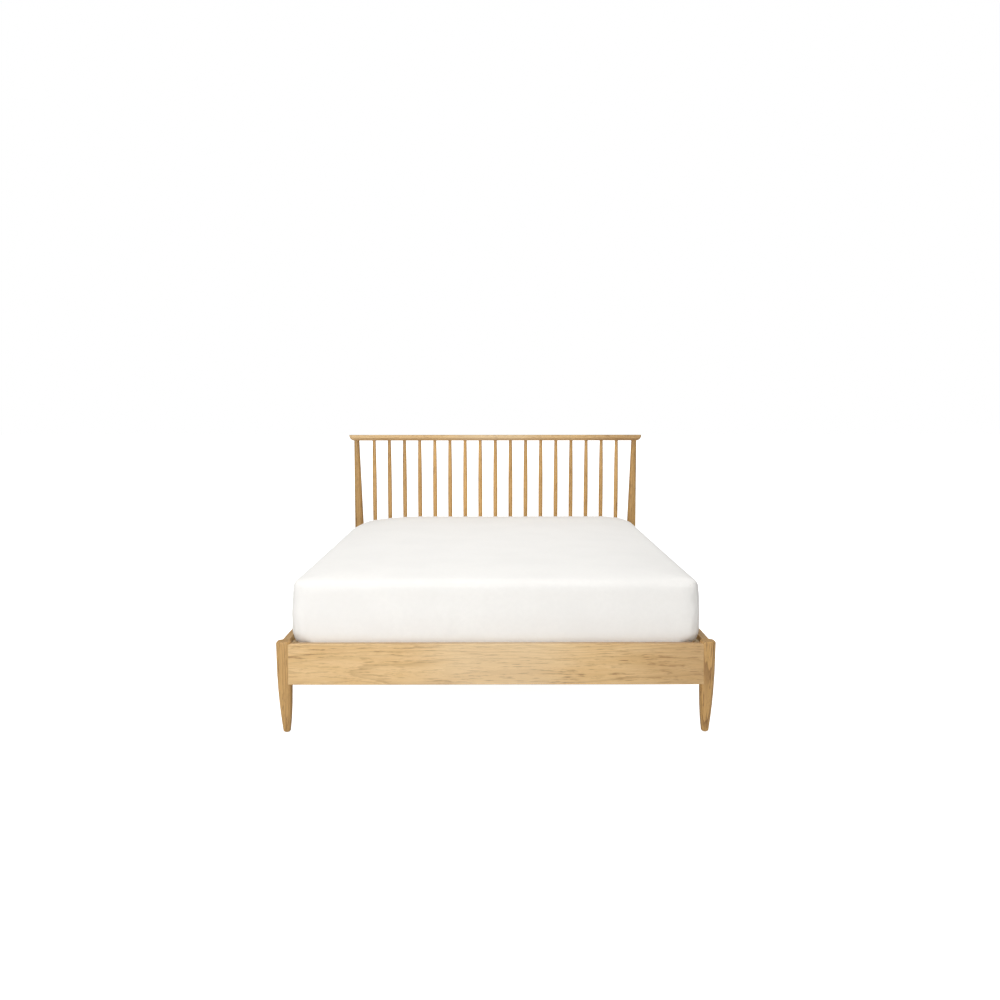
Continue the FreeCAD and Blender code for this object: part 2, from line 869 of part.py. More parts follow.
DIAGONAL = math.sqrt(0.5)
MITRE = math.tan(math.radians(22.5))
CORNERS = [(side, end) for end in (FOOT, HEAD) for side in (LEFT, RIGHT)]
SCREW_LEVELS = (0.25, 0.75)
web_distance = size("leg_round") + size("plate_stand_off")
web_shift = web_distance / DIAGONAL


def corner_centre(end):
    """Centre of the rounding on a leg's inner corner, as distances along X and Y."""
    return leg_inner + size("leg_round"), leg_inside(end) + size("leg_round") * end


def plate_bends(end):
    """X where the plate leaves the end rail, and how far from that rail it meets the side rail."""
    centre_x, centre_y = corner_centre(end)
    depth = (end_inner(end) - centre_y) * end
    bend_x = centre_x - web_shift + depth
    return bend_x, rail_inner - bend_x


def plate_screw_heights():
    height = size("plate_height")
    return [plate_bottom + height * share for share in SCREW_LEVELS]


def end_plate_screws(end):
    bend_x, _ = plate_bends(end)
    return [(bend_x - size("plate_flange") / 2, z) for z in plate_screw_heights()]


def side_plate_screws(end):
    _, bend_y = plate_bends(end)
    y = end_inner(end) - (bend_y + size("plate_flange") / 2) * end
    return [(y, z) for z in plate_screw_heights()]


def corner_bolts(side, end):
    """Start points and direction of a corner's bolts, which run out of the leg towards the middle."""
    centre_x, centre_y = corner_centre(end)
    back = (size("bolt_grip") - size("leg_round")) * DIAGONAL
    direction = Vector(-side, -end, 0)
    middle = plate_bottom + size("plate_height") / 2
    heights = [middle + size("bolt_spread") * share for share in (-0.5, 0.5)]
    return [((side * (centre_x + back), centre_y + back * end, z), direction) for z in heights]


def corner_plate(side, end):
    """Steel plate bent across a corner, with a flange on each rail and bolts through to the leg."""
    body = new_body(f"corner_plate_{END_NAMES[end]}_{SIDE_NAMES[side]}")
    bend_x, bend_y = plate_bends(end)
    flange = size("plate_flange")
    skin = size("plate_thickness")
    slant = skin * MITRE
    inner_y = end_inner(end)
    path = [
        (bend_x - flange, 0),
        (bend_x, 0),
        (rail_inner, bend_y),
        (rail_inner, bend_y + flange),
        (rail_inner - skin, bend_y + flange),
        (rail_inner - skin, bend_y + slant),
        (bend_x - slant, skin),
        (bend_x - flange, skin),
    ]
    outline = [(side * x, inner_y - as_length(run) * end) for x, run in path]
    pad(body, "top", plate_bottom, size("plate_height"), [outline])
    end_circles = [(side * x, z, screw_hole_radius()) for x, z in end_plate_screws(end)]
    start_y = inner_y if end == FOOT else inner_y - skin
    pocket(body, "front", start_y, skin, circles=end_circles)
    side_circles = [(y, z, screw_hole_radius()) for y, z in side_plate_screws(end)]
    start_x, _ = mirrored_span(side, rail_inner - skin, rail_inner)
    pocket(body, "side", start_x, skin, circles=side_circles)
    for start, direction in corner_bolts(side, end):
        radius = size("bolt_radius") + size("bolt_clearance")
        drill(body, start, direction, radius, size("bolt_grip") + web_distance)


def vector(x, y, z):
    return Vector(as_length(x).number, as_length(y).number, as_length(z).number)


def hanger_bolts():
    """Studs: two through each corner plate into the leg, and one in each centre leg."""
    length = (size("bolt_grip") - size("leg_round") + web_distance + size("plate_thickness")
              + size("nut_height") + size("bolt_end_show"))
    stud = Part.makeCylinder(size("bolt_radius").number, length.number)
    studs = [set_along(stud, vector(*start), direction)
             for side, end in CORNERS for start, direction in corner_bolts(side, end)]
    short = Part.makeCylinder(size("bolt_radius").number, size("bolt_grip").number * 2)
    start_z = beam_bottom - size("bolt_grip")
    studs += [set_along(short, vector(0, centre_leg_place(end), start_z), Vector(0, 0, 1))
              for end in (FOOT, HEAD)]
    group("hanger_bolts", studs)


def flange_nuts():
    """Hexagon nuts with a round flange that bears on the corner plates."""
    across = size("nut_width").number
    height = size("nut_height").number
    corner = across / 2 / math.cos(math.pi / 6)
    corners = [Vector(corner * math.cos(math.pi / 3 * step), corner * math.sin(math.pi / 3 * step), 0)
               for step in range(6)]
    hexagon = Part.Face(Part.makePolygon(corners + corners[:1])).extrude(Vector(0, 0, height))
    flange = Part.makeCylinder(size("nut_flange_radius").number, size("nut_flange_thickness").number)
    bore = Part.makeCylinder(size("bolt_radius").number, height)
    nut = hexagon.fuse(flange).cut(bore).removeSplitter()
    run = (size("bolt_grip") - size("leg_round") + web_distance + size("plate_thickness")).number
    nuts = []
    for side, end in CORNERS:
        for start, direction in corner_bolts(side, end):
            step = Vector(direction).normalize() * run
            nuts.append(set_along(nut, vector(*start) + step, direction))
    group("flange_nuts", nuts)


def screw_seats():
    """Where each screw's head bears, and the way the screw points."""
    seats = []
    skin = size("plate_thickness")
    for side, end in CORNERS:
        inner = end_inner(end) - skin * end
        seats += [(vector(side * x, inner, z), Vector(0, end, 0)) for x, z in end_plate_screws(end)]
        face = side * (rail_inner - skin)
        seats += [(vector(face, y, z), Vector(side, 0, 0)) for y, z in side_plate_screws(end)]
    for side in (LEFT, RIGHT):
        floor = side * (rail_inner - ledger_bite())
        seats += [(vector(floor, y, ledger_middle()), Vector(side, 0, 0)) for y in ledger_screw_places()]
        level = deck_top - size("slat_counterbore")
        seats += [(vector(side * slat_screw_x(), slat_place(number), level), Vector(0, 0, -1))
                  for number in range(SLATS) if is_screwed(number)]
    for end in (FOOT, HEAD):
        inner = end_inner(end) - size("hanger_thickness") * end
        seats += [(vector(x, inner, z), Vector(0, end, 0)) for x, z in hanger_screws()]
    return seats


def wood_screws():
    """Flat-seated screws with a round head and a pointed tip."""
    head = size("screw_head_radius").number
    height = size("screw_head_height").number
    shank = size("screw_radius").number
    length = size("screw_length").number
    tip = size("screw_tip").number
    screw = turned([(0, -height), (head, -height), (head, 0), (shank, 0), (shank, length - tip),
                    (0, length)])
    group("wood_screws", [set_along(screw, seat, direction) for seat, direction in screw_seats()])


# Mattress and fitted sheet

ARC_STEPS = (0, 0.25, 0.5, 0.75, 1)
CROWN_SHARES = (0.2, 0.45, 0.7, 0.92)
CORNER_LIMIT = 0.9  # a corner's radius stays under this share of the half width


def plan_wire(half_width, half_length, radius, height):
    """Rounded rectangle at one height, from four lines and four quarter arcs."""
    edges = []
    corners = [(1, -1, -90), (1, 1, 0), (-1, 1, 90), (-1, -1, 180)]
    ends = []
    for x_sign, y_sign, angle in corners:
        centre = Vector(x_sign * (half_width - radius), y_sign * (half_length - radius), height)
        turns = [math.radians(angle + step) for step in (0, 45, 90)]
        points = [centre + Vector(math.cos(turn), math.sin(turn), 0) * radius for turn in turns]
        ends.append(points)
    for index, points in enumerate(ends):
        edges.append(Part.Arc(*points).toShape())
        after = ends[(index + 1) % 4]
        edges.append(Part.LineSegment(points[-1], after[0]).toShape())
    return Part.Wire(edges)


def cushion(grow, drop, rise):
    """Mattress form: rounded lower edge, sides that bulge at mid height, rounded upper edge and a crown.

    grow moves the sides outwards, drop lowers the underside and rise lifts the top.
    """
    half_width = size("mattress_width").number / 2 + grow
    half_length = size("mattress_length").number / 2 + grow
    low_round = size("mattress_bottom_round").number + drop
    high_round = size("mattress_top_round").number + rise
    bottom = mattress_bottom.number - drop
    radius = size("mattress_corner_round").number + grow
    edge_top = mattress_bottom.number + size("mattress_edge_height").number + rise
    crown = size("mattress_crown").number
    bulge = size("mattress_side_bulge").number
    levels = []
    for step in ARC_STEPS:
        turn = math.pi / 2 * step
        levels.append((bottom + low_round * (1 - math.cos(turn)), low_round * (1 - math.sin(turn))))
    levels.append(((bottom + low_round + edge_top - high_round) / 2, -bulge))
    for step in ARC_STEPS:
        turn = math.pi / 2 * step
        levels.append((edge_top - high_round * (1 - math.sin(turn)), high_round * (1 - math.cos(turn))))
    run = half_width - high_round
    for share in CROWN_SHARES:
        levels.append((edge_top + crown * (1 - (1 - share) ** 2), high_round + run * share))
    wires = []
    for height, inset in levels:
        corner = min(radius, (half_width - inset) * CORNER_LIMIT)
        wires.append(plan_wire(half_width - inset, half_length - inset, corner, height))
    return Part.makeLoft(wires, True, True)


mattress_middle = (foot_inner + head_inner) / 2


def soft_part(name, shape):
    feature = doc.addObject("Part::Feature", name)
    feature.Label = name
    feature.Shape = shape
    feature.Placement.Base = Vector(0, mattress_middle.number, 0)
    parts.append(feature)


def mattress():
    soft_part("mattress", cushion(0, 0, 0))


def fitted_sheet():
    """Thin cover over the mattress, with a border tucked in under it."""
    gap = size("sheet_gap").number
    cloth = size("sheet_thickness").number
    tuck = size("sheet_tuck").number
    outside = cushion(gap + cloth, cloth, gap + cloth)
    inside = cushion(gap, 0, gap)
    half_width = size("mattress_width").number / 2 - tuck
    half_length = size("mattress_length").number / 2 - tuck
    radius = size("mattress_corner_round").number
    mouth = plan_wire(half_width, half_length, radius, deck_top.number - CUT_MARGIN)
    opening = Part.Face(mouth).extrude(Vector(0, 0, cloth + CUT_MARGIN * 2))
    soft_part("fitted_sheet", outside.cut(inside).cut(opening))


# The bed

crest_rail()
for index in range(SPINDLES):
    spindle(index)
for side_of_bed in (LEFT, RIGHT):
    headboard_post(side_of_bed)
    foot_leg(side_of_bed)
    side_rail(side_of_bed)
    ledger(side_of_bed)
    slat_strap(side_of_bed)
    for end_of_bed in (FOOT, HEAD):
        corner_plate(side_of_bed, end_of_bed)
for order, end_of_bed in enumerate((FOOT, HEAD), start=1):
    end_rail(end_of_bed)
    beam_hanger(end_of_bed)
    centre_leg(order, end_of_bed)
    leveler(order, end_of_bed)
for index in range(SLATS):
    slat(index)
centre_beam()
leg_glides()
hanger_bolts()
flange_nuts()
wood_screws()
mattress()
fitted_sheet()

doc.recompute()
for item in doc.Objects:
    if "Invalid" in item.State or "Error" in item.State:
        raise RuntimeError(f"{item.Label}: {item.State}")
for item in parts:
    if item.Shape.isNull() or not item.Shape.isValid():
        raise RuntimeError(f"{item.Label}: no valid shape")

os.makedirs("parts", exist_ok=True)
for item in parts:
    item.Shape.exportStep(os.path.join("parts", f"{item.Label}.step"))
    print(f"{item.Label}: {len(item.Shape.Solids)} solid(s), {item.Shape.Volume / 1e6:.3f} litres")
print(f"{len(parts)} nodes")
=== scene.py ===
import math
import random

import bmesh
import bpy
from mathutils import Euler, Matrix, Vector, noise
from mathutils.bvhtree import BVHTree


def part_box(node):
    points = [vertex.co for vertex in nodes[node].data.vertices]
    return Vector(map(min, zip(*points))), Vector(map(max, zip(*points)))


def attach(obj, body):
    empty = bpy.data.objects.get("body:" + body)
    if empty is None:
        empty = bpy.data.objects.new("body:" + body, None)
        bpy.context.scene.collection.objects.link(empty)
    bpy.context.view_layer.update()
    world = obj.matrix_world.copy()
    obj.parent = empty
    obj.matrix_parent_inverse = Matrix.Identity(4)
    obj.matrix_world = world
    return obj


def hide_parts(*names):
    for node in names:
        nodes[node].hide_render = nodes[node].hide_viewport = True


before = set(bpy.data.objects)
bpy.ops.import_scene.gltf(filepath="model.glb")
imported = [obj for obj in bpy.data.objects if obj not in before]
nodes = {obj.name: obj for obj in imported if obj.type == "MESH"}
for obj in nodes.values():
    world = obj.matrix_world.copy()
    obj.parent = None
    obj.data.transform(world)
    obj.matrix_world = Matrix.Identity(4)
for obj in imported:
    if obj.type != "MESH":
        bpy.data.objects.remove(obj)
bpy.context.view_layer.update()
scene = bpy.context.scene
white, black, zero = (1.0, 1.0, 1.0, 1.0), (0.0, 0.0, 0.0, 1.0), (0.0, 0.0, 0.0)
print("frame loaded:", len(nodes), "nodes")


def feed(socket, value):
    if isinstance(value, bpy.types.NodeSocket):
        socket.id_data.links.new(value, socket)
    elif value is not None:
        socket.default_value = value


def feedAll(sockets, values):
    # each keyword names a socket, with _ for a space
    for name, value in values.items():
        feed(sockets[name.replace("_", " ")], value)


def treeOf(*values):
    return next(value for value in values if isinstance(value, bpy.types.NodeSocket)).id_data


def addNode(tree, kind, output=0, settings=(), **values):
    node = tree.nodes.new(kind)
    for name, value in settings:
        setattr(node, name, value)
    feedAll(node.inputs, values)
    return node.outputs[output]


def doMath(operation, first, second=None):
    node = treeOf(first, second).nodes.new("ShaderNodeMath")
    node.operation = operation
    feed(node.inputs[0], first)
    feed(node.inputs[1], second)
    return node.outputs[0]


def plus(first, second):
    return doMath("ADD", first, second)


def minus(first, second):
    return doMath("SUBTRACT", first, second)


def times(first, second):
    return doMath("MULTIPLY", first, second)


def doVector(operation, first, second=None, scale=None):
    node = first.id_data.nodes.new("ShaderNodeVectorMath")
    node.operation = operation
    feed(node.inputs[0], first)
    if scale is None:
        feed(node.inputs[1], second)
    else:
        feed(node.inputs["Scale"], scale)
    return node.outputs["Value" if operation == "LENGTH" else "Vector"]


def noiseField(vector, stretch, detail, roughness, output="Fac"):
    # stretch is waves per metre along each axis
    return addNode(vector.id_data, "ShaderNodeTexNoise", output, Scale=1.0, Detail=detail,
                   Roughness=roughness, Vector=doVector("MULTIPLY", vector, stretch))


def spread(value, low, high, newLow=0.0, newHigh=1.0, smooth=True):
    kind = (("interpolation_type", "SMOOTHSTEP" if smooth else "LINEAR"),)
    return addNode(value.id_data, "ShaderNodeMapRange", "Result", kind, Value=value,
                   From_Min=low, From_Max=high, To_Min=newLow, To_Max=newHigh)


def mixColour(factor, first, second, blend="MIX"):
    node = treeOf(factor, first, second).nodes.new("ShaderNodeMix")
    node.data_type = "RGBA"
    node.blend_type = blend
    feed(node.inputs["Factor"], factor)
    feed(node.inputs[6], first)
    feed(node.inputs[7], second)
    return node.outputs[2]


def splitVector(vector):
    return addNode(vector.id_data, "ShaderNodeSeparateXYZ", Vector=vector).node.outputs


def joinVector(x, y, z):
    return addNode(treeOf(x, y, z), "ShaderNodeCombineXYZ", X=x, Y=y, Z=z)


def randomFrom(value):
    line = (("noise_dimensions", "1D"),)
    return addNode(value.id_data, "ShaderNodeTexWhiteNoise", "Value", line, W=value)


def socketKind(value):
    # the kind of a group's socket follows from its first value
    if value is None:
        return "Geometry"
    if isinstance(value, tuple):
        return "Color" if len(value) == 4 else "Vector"
    return "Int" if isinstance(value, int) else "Float"


def newTree(kind, name, inputs, outputs):
    tree = bpy.data.node_groups.new(name, kind)
    for direction, sockets in (("INPUT", inputs), ("OUTPUT", outputs)):
        for socketName, value in sockets.items():
            socket = tree.interface.new_socket(
                socketName, in_out=direction, socket_type="NodeSocket" + socketKind(value))
            if value is not None:
                socket.default_value = value
    return tree, tree.nodes.new("NodeGroupInput").outputs, tree.nodes.new("NodeGroupOutput").inputs


def useGroup(tree, group, **values):
    return addNode(tree, "ShaderNodeGroup", 0, (("node_tree", group),), **values).node.outputs


def newMaterial(name):
    material = bpy.data.materials.new(name)
    material.use_nodes = True
    tree = material.node_tree
    return material, tree, tree.nodes["Principled BSDF"]


def setSurface(surface, **values):
    feedAll(surface.inputs, values)


def addBump(surface, height, strength, distance):
    bump = addNode(surface.id_data, "ShaderNodeBump", "Normal", Strength=strength,
                   Distance=distance, Height=height)
    setSurface(surface, Normal=bump)


def objectCoordinates(tree):
    return addNode(tree, "ShaderNodeTexCoord", "Object")


def surfaceNormal(tree):
    return addNode(tree, "ShaderNodeNewGeometry", "Normal")


def linear(colour):
    shares = [value / 255 for value in colour]
    return tuple(share / 12.92 if share <= 0.04045 else ((share + 0.055) / 1.055) ** 2.4
                 for share in shares) + (1.0,)


def dimmed(colour, share):
    return tuple(value * share for value in colour[:3]) + (1.0,)


# patterns: waves per metre along the grain and across it, detail and roughness; reaches: where
# a mask begins and ends
grainLook = {
    "drift": ((1.3, 5.0, 5.0), 2.0, 0.45), "waver": ((5.0, 45.0, 45.0), 3.0, 0.55),
    "fibre": ((13.0, 700.0, 700.0), 3.0, 0.6), "fleck": ((17.0, 210.0, 210.0), 3.0, 0.55),
    "figure": ((3.2, 24.0, 24.0), 3.0, 0.55), "pores": ((38.0, 1250.0, 1250.0), 1.0, 0.5),
    "waverRings": 0.9, "lateSharpness": 3.0, "lateEnd": (1.0, 0.93), "faintestYear": 0.25,
    "fleckReach": (0.54, 0.68), "figureReach": (0.32, 0.68), "poreReach": (0.6, 0.68),
    "poreYear": (0.45, 0.05, 0.25, 1.0), "faintestFleck": 0.4, "figureTone": 0.55,
    "fibreTone": (0.35, 0.68, 0.0, 0.35), "middleTone": 0.98,
    "seedShift": (7.3, 3.1, 5.7), "heartShift": (0.05, 0.04),
    "roughness": (0.3, 0.7, 0.36, 0.5), "poreRoughness": 0.2, "fibreHeight": 0.35,
    "lateHeight": 0.3,
}


def buildWoodGrain():
    look = grainLook
    tree, given, made = newTree("ShaderNodeTree", "woodGrain", {
        "Vector": zero, "Seed": 0.0, "Ring Spacing": 0.007, "Heart Y": 0.09, "Heart Z": 0.02,
        "Wander": 0.03, "Ring Strength": 0.5, "Fleck Strength": 0.5, "Pore Strength": 0.5,
        "Tone Range": 0.12, "Light": black, "Middle": black, "Dark": black},
        {"Color": black, "Roughness": 0.5, "Height": 0.0})
    seed, middle = given["Seed"], given["Middle"]
    shift = joinVector(*[times(seed, share) for share in look["seedShift"]])
    place = doVector("ADD", given["Vector"], shift)
    drift = noiseField(place, *look["drift"], "Color")
    drift = doVector("SUBTRACT", drift, (0.5, 0.5, 0.5))
    drift = doVector("SCALE", drift, scale=given["Wander"])
    y, z = splitVector(doVector("ADD", given["Vector"], drift))[1:]
    turn = minus(seed, 0.5)
    heart = [plus(minus(value, given[name]), times(turn, share))
             for value, name, share in zip((y, z), ("Heart Y", "Heart Z"), look["heartShift"])]
    waver = times(noiseField(place, *look["waver"]), look["waverRings"])
    away = doVector("LENGTH", joinVector(0.0, *heart))
    rings = plus(doMath("DIVIDE", away, given["Ring Spacing"]), waver)
    growth = doMath("FRACT", rings)
    late = doMath("POWER", growth, look["lateSharpness"])
    late = times(late, spread(growth, *look["lateEnd"]))
    year = randomFrom(doMath("FLOOR", rings))
    late = times(late, spread(year, 0.0, 1.0, look["faintestYear"], 1.0, False))
    fibre = noiseField(place, *look["fibre"])
    fleck = spread(noiseField(place, *look["fleck"]), *look["fleckReach"])
    figure = spread(noiseField(place, *look["figure"]), *look["figureReach"])
    fleck = times(fleck, spread(figure, 0.0, 1.0, look["faintestFleck"], 1.0, False))
    pores = spread(noiseField(place, *look["pores"]), *look["poreReach"])
    pores = times(pores, spread(growth, *look["poreYear"]))
    tone = spread(figure, 0.0, 1.0, 0.0, look["figureTone"], False)
    colour = mixColour(tone, given["Light"], middle)
    colour = mixColour(spread(fibre, *look["fibreTone"]), colour, middle)
    for mask, strength in ((late, "Ring Strength"), (fleck, "Fleck Strength"),
                           (pores, "Pore Strength")):
        colour = mixColour(times(mask, given[strength]), colour, given["Dark"])
    span, level = given["Tone Range"], look["middleTone"]
    tone = spread(seed, 0.0, 1.0, minus(level, span), plus(level, span), False)
    colour = mixColour(1.0, colour, joinVector(tone, tone, tone), "MULTIPLY")
    feed(made["Color"], colour)
    rough = spread(fibre, *look["roughness"])
    rough = plus(rough, times(pores, look["poreRoughness"]))
    feed(made["Roughness"], rough)
    height = plus(times(pores, -1.0), times(fibre, look["fibreHeight"]))
    height = plus(height, times(late, look["lateHeight"]))
    feed(made["Height"], height)
    return tree


def buildWeave():
    tree, given, made = newTree("ShaderNodeTree", "plainWeave", {
        "Vector": zero, "Facing": zero, "Thread": 0.0007}, {"Height": 0.0, "Shade": 0.0})
    x, y, z = splitVector(given["Vector"])
    facingX, facingY, facingZ = splitVector(doVector("ABSOLUTE", given["Facing"]))
    turns = doMath("DIVIDE", 2 * math.pi, given["Thread"])

    def thread(value):
        return doMath("SINE", times(value, turns))

    def either(choice, first, second):
        return plus(times(first, choice), times(second, minus(1.0, choice)))

    # the directions in the surface: x and y on top, else z and the other one
    sideOn = doMath("GREATER_THAN", facingX, facingY)
    upOn = doMath("GREATER_THAN", facingZ, 0.7)
    along = either(upOn, x, either(sideOn, y, x))
    across = either(upOn, y, z)
    crossing = times(thread(along), thread(across))
    slub = noiseField(given["Vector"], (60.0, 60.0, 60.0), 4.0, 0.65)
    feed(made["Height"], plus(crossing, times(slub, 1.5)))
    feed(made["Shade"], slub)
    return tree


woodGrain = buildWoodGrain()
plainWeave = buildWeave()
print("shared effects built")

oakLook = {
    "light": (234, 200, 146), "middle": (214, 173, 112), "dark": (140, 94, 46),
    "ringSpacing": 0.0085, "ringStrength": 0.42, "fleckStrength": 0.75, "poreStrength": 0.5,
    "coat": 0.12, "coatRoughness": 0.35, "bump": (0.25, 0.0004), "toneRange": 0.12,
}
uprightLook = dict(
    oakLook, light=(213, 170, 107), middle=(189, 146, 83), dark=(118, 77, 36),
    ringSpacing=0.0065, ringStrength=0.9, fleckStrength=0.85, toneRange=-0.05)
spindleLook = dict(
    uprightLook, light=(235, 189, 122), middle=(210, 164, 96), dark=(134, 88, 42),
    ringStrength=0.7, fleckStrength=0.75, toneRange=0.1)
deckLook = dict(
    oakLook, light=(232, 210, 170), middle=(222, 195, 150), dark=(188, 150, 102),
    ringSpacing=0.006, fleckStrength=0.15, poreStrength=0.2, coat=0.0, bump=(0.35, 0.0004))
# long boards get a painted highlight near their middle and painted shade towards one end, and
# pieces get painted shade on their upper faces or below given heights
paintedBoardLight = {
    "paintedHighlight": (240, 220, 186), "highlightStrength": 0.3, "highlightReach": (0.08, 0.4),
    "endShadeStrength": 0.26, "endShadeReach": (0.38, 0.74),
    "topShadeStrength": 0.34, "topShadeFacing": (0.75, 0.98), "lowShadeStrength": 0.42,
}


def makeWood(name, look, grain, heart, wander, row=None, seed=0.5, board=False, shaded=None):
    material, tree, surface = newMaterial(name)
    x, y, z = splitVector(objectCoordinates(tree))
    along = {"x": (x, y, z), "y": (y, x, z), "z": (z, x, y)}[grain]
    if row:
        # each piece of a row gets a seed of its own from its place
        axis, pitch = row
        cell = doMath("ROUND", doMath("DIVIDE", {"x": x, "y": y}[axis], pitch))
        seed = randomFrom(plus(cell, 31.7))
    light, middle, dark = [linear(look[tone]) for tone in ("light", "middle", "dark")]
    grained = useGroup(
        tree, woodGrain, Vector=joinVector(*along), Seed=seed,
        Ring_Spacing=look["ringSpacing"], Heart_Y=heart[0], Heart_Z=heart[1], Wander=wander,
        Ring_Strength=look["ringStrength"], Fleck_Strength=look["fleckStrength"],
        Pore_Strength=look["poreStrength"], Tone_Range=look["toneRange"],
        Light=light, Middle=middle, Dark=dark)
    colour = grained["Color"]
    # painted highlight near the middle of the board, painted shade towards one end
    if board:
        paintedHighlight = spread(doMath("ABSOLUTE", x), *paintedBoardLight["highlightReach"],
                      paintedBoardLight["highlightStrength"], 0.0)
        colour = mixColour(paintedHighlight, colour, linear(paintedBoardLight["paintedHighlight"]))
        paintedEndShade = spread(x, *paintedBoardLight["endShadeReach"], 0.0, paintedBoardLight["endShadeStrength"])
        colour = mixColour(paintedEndShade, colour, dark)
    if shaded:
        # painted shade on the upper faces, or below the given heights
        if shaded == "up":
            facing = splitVector(surfaceNormal(tree))[2]
            edge = spread(facing, *paintedBoardLight["topShadeFacing"], 0.0, paintedBoardLight["topShadeStrength"])
        else:
            edge = spread(z, *shaded, paintedBoardLight["lowShadeStrength"], 0.0)
        colour = mixColour(edge, colour, dark)
    setSurface(surface, Base_Color=colour, Roughness=grained["Roughness"],
               Coat_Weight=look["coat"], Coat_Roughness=look["coatRoughness"])
    addBump(surface, grained["Height"], *look["bump"])
    return material


def dress(names, material):
    for name in names:
        slots = nodes[name].material_slots
        for slot in slots:
            slot.material = material
        if not slots:
            nodes[name].data.materials.append(material)


def named(*starts):
    return [name for name in nodes if name.startswith(starts)]


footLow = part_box("foot_rail")[0]
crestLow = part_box("crest_rail")[0]
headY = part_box("head_rail")[0].y
spindlePitch = (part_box("spindle_17")[0].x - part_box("spindle_01")[0].x) / 16
slatPitch = (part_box("slat_13")[0].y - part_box("slat_01")[0].y) / 12
# start of the names, material, look, direction of the grain, the tree's heart in the other two
# directions, wander of the grain, special values
# board paints a highlight and shade along a long piece, shaded paints shade on its upper faces or
# below given heights
woodParts = [
    (("foot_rail",), "oakFootRail", oakLook, "x", (footLow.y + 0.11, footLow.z + 0.05), 0.06,
     {"seed": 0.55, "board": True, "shaded": "up"}),
    (("head_rail",), "oakHeadRail", oakLook, "x", (headY + 0.1, footLow.z + 0.1), 0.06,
     {"seed": 0.35}),
    # painted shade along the crest's lower band
    (("crest_rail",), "oakCrestRail", oakLook, "x", (crestLow.y - 0.05, crestLow.z - 0.08), 0.04,
     {"seed": 0.85, "board": True, "shaded": (crestLow.z + 0.011, crestLow.z + 0.019)}),
    (("side_rail",), "oakSideRail", oakLook, "y", (0.0, footLow.z - 0.4), 0.05, {"shaded": "up"}),
    (("headboard_post", "foot_leg"), "oakUpright", uprightLook, "z", (0.86, 0.95), 0.04,
     {"row": ("x", 1.3)}),
    (("spindle",), "oakSpindle", spindleLook, "z", (0.05, headY + 0.09), 0.03,
     {"row": ("x", spindlePitch)}),
    (("slat_0", "slat_1"), "deckSlat", deckLook, "x", (0.0, 0.27), 0.04, {"row": ("y", slatPitch)}),
    (("ledger", "centre_beam"), "deckLong", deckLook, "y", (0.2, 0.12), 0.04, {}),
    (("centre_leg",), "deckTurned", deckLook, "z", (0.06, 0.3), 0.03, {}),
]
for starts, *values, special in woodParts:
    dress(named(*starts), makeWood(*values, **special))
print("wood dressed")

mattressLook = {
    "voxel": 0.02, "shrink": 0.004, "pressure": 4.0, "clothMass": 0.3, "clothQuality": 4,
    "frames": 20, "maxShift": 0.007,
    "headDroop": {"left": 0.04, "right": 0.026}, "droopReach": {"left": 0.34, "right": 0.18},
    "droopLength": 1.6, "droopFade": (1.8, 1.3),
    "cornerDraw": 0.036, "drawReach": 0.08, "drawRise": 0.05, "drawGain": 1.3,
    "bulge": 0.009, "crown": 0.014, "footRound": 0.05,
    "fabric": (232, 229, 222), "thread": 0.0012, "threadShade": 0.8,
    "threadTone": (0.3, 0.7, 0.0, 0.25), "threadHeight": 0.3,
    "dotSpacing": 0.011, "dotReach": (0.55, 0.8), "dots": (196, 192, 184), "dotStrength": 0.5,
    "surface": {"Roughness": 0.85, "Sheen_Weight": 0.2}, "bump": (0.5, 0.0008),
}
mattressLow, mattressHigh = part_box("mattress")
mattressMiddle = (mattressLow + mattressHigh) / 2
mattressEdge = mattressHigh.z - mattressLook["crown"]
sheetLow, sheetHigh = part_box("fitted_sheet")
sheetMiddle = (sheetLow + sheetHigh) / 2


def placeObject(name, data):
    item = bpy.data.objects.new(name, data)
    scene.collection.objects.link(item)
    return item


def newPiece(name, mesh, material, body):
    piece = placeObject(name, mesh)
    mesh.materials.clear()
    mesh.materials.append(material)
    for polygon in mesh.polygons:
        polygon.use_smooth = True
        polygon.material_index = 0
    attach(piece, body)
    return piece


def bakedMesh(scratch, name):
    bpy.context.view_layer.update()
    graph = bpy.context.evaluated_depsgraph_get()
    mesh = bpy.data.meshes.new_from_object(scratch.evaluated_get(graph))
    mesh.name = name
    return mesh


def nearness(distance, reach):
    return max(0.0, 1 - distance / reach)


def softDroop(x, y):
    # the corners at the head end hang lower than the rest of the top
    which = "left" if x < 0 else "right"
    reach = mattressLook["droopReach"][which]
    side = nearness(mattressHigh.x - abs(x), reach)
    head = nearness(mattressHigh.y - y, reach * mattressLook["droopLength"])
    sideFade, headFade = mattressLook["droopFade"]
    return mattressLook["headDroop"][which] * side ** sideFade * head ** headFade


def cornerDraw(x, y, z):
    # the sheet's elastic pulls the lower corners in
    reach = mattressLook["drawReach"]
    side = nearness(mattressHigh.x - abs(x), reach)
    end = nearness(mattressHigh.y - mattressMiddle.y - abs(y - mattressMiddle.y), reach)
    low = nearness(z - mattressLow.z, mattressLook["drawRise"])
    return mattressLook["cornerDraw"] * min(side * end * mattressLook["drawGain"], 1.0) * low * low


def fullness(z):
    # the filling pushes the sides out where the CAD section bulges less than at its middle
    share = (z - mattressLow.z) / (mattressEdge - mattressLow.z)
    return mattressLook["bulge"] * (1 - math.sin(math.pi * min(max(share, 0.0), 1.0)))


def footEdge(y, z):
    # the top edge at the foot is rounder than the others
    radius = mattressLook["footRound"]
    behind = y - mattressLow.y
    below = mattressEdge - z
    if behind >= radius or below >= radius:
        return y, z
    away = math.hypot(radius - behind, radius - below)
    if away <= radius:
        return y, z
    share = 1 - radius / away
    return y + (radius - behind) * share, z - (radius - below) * share


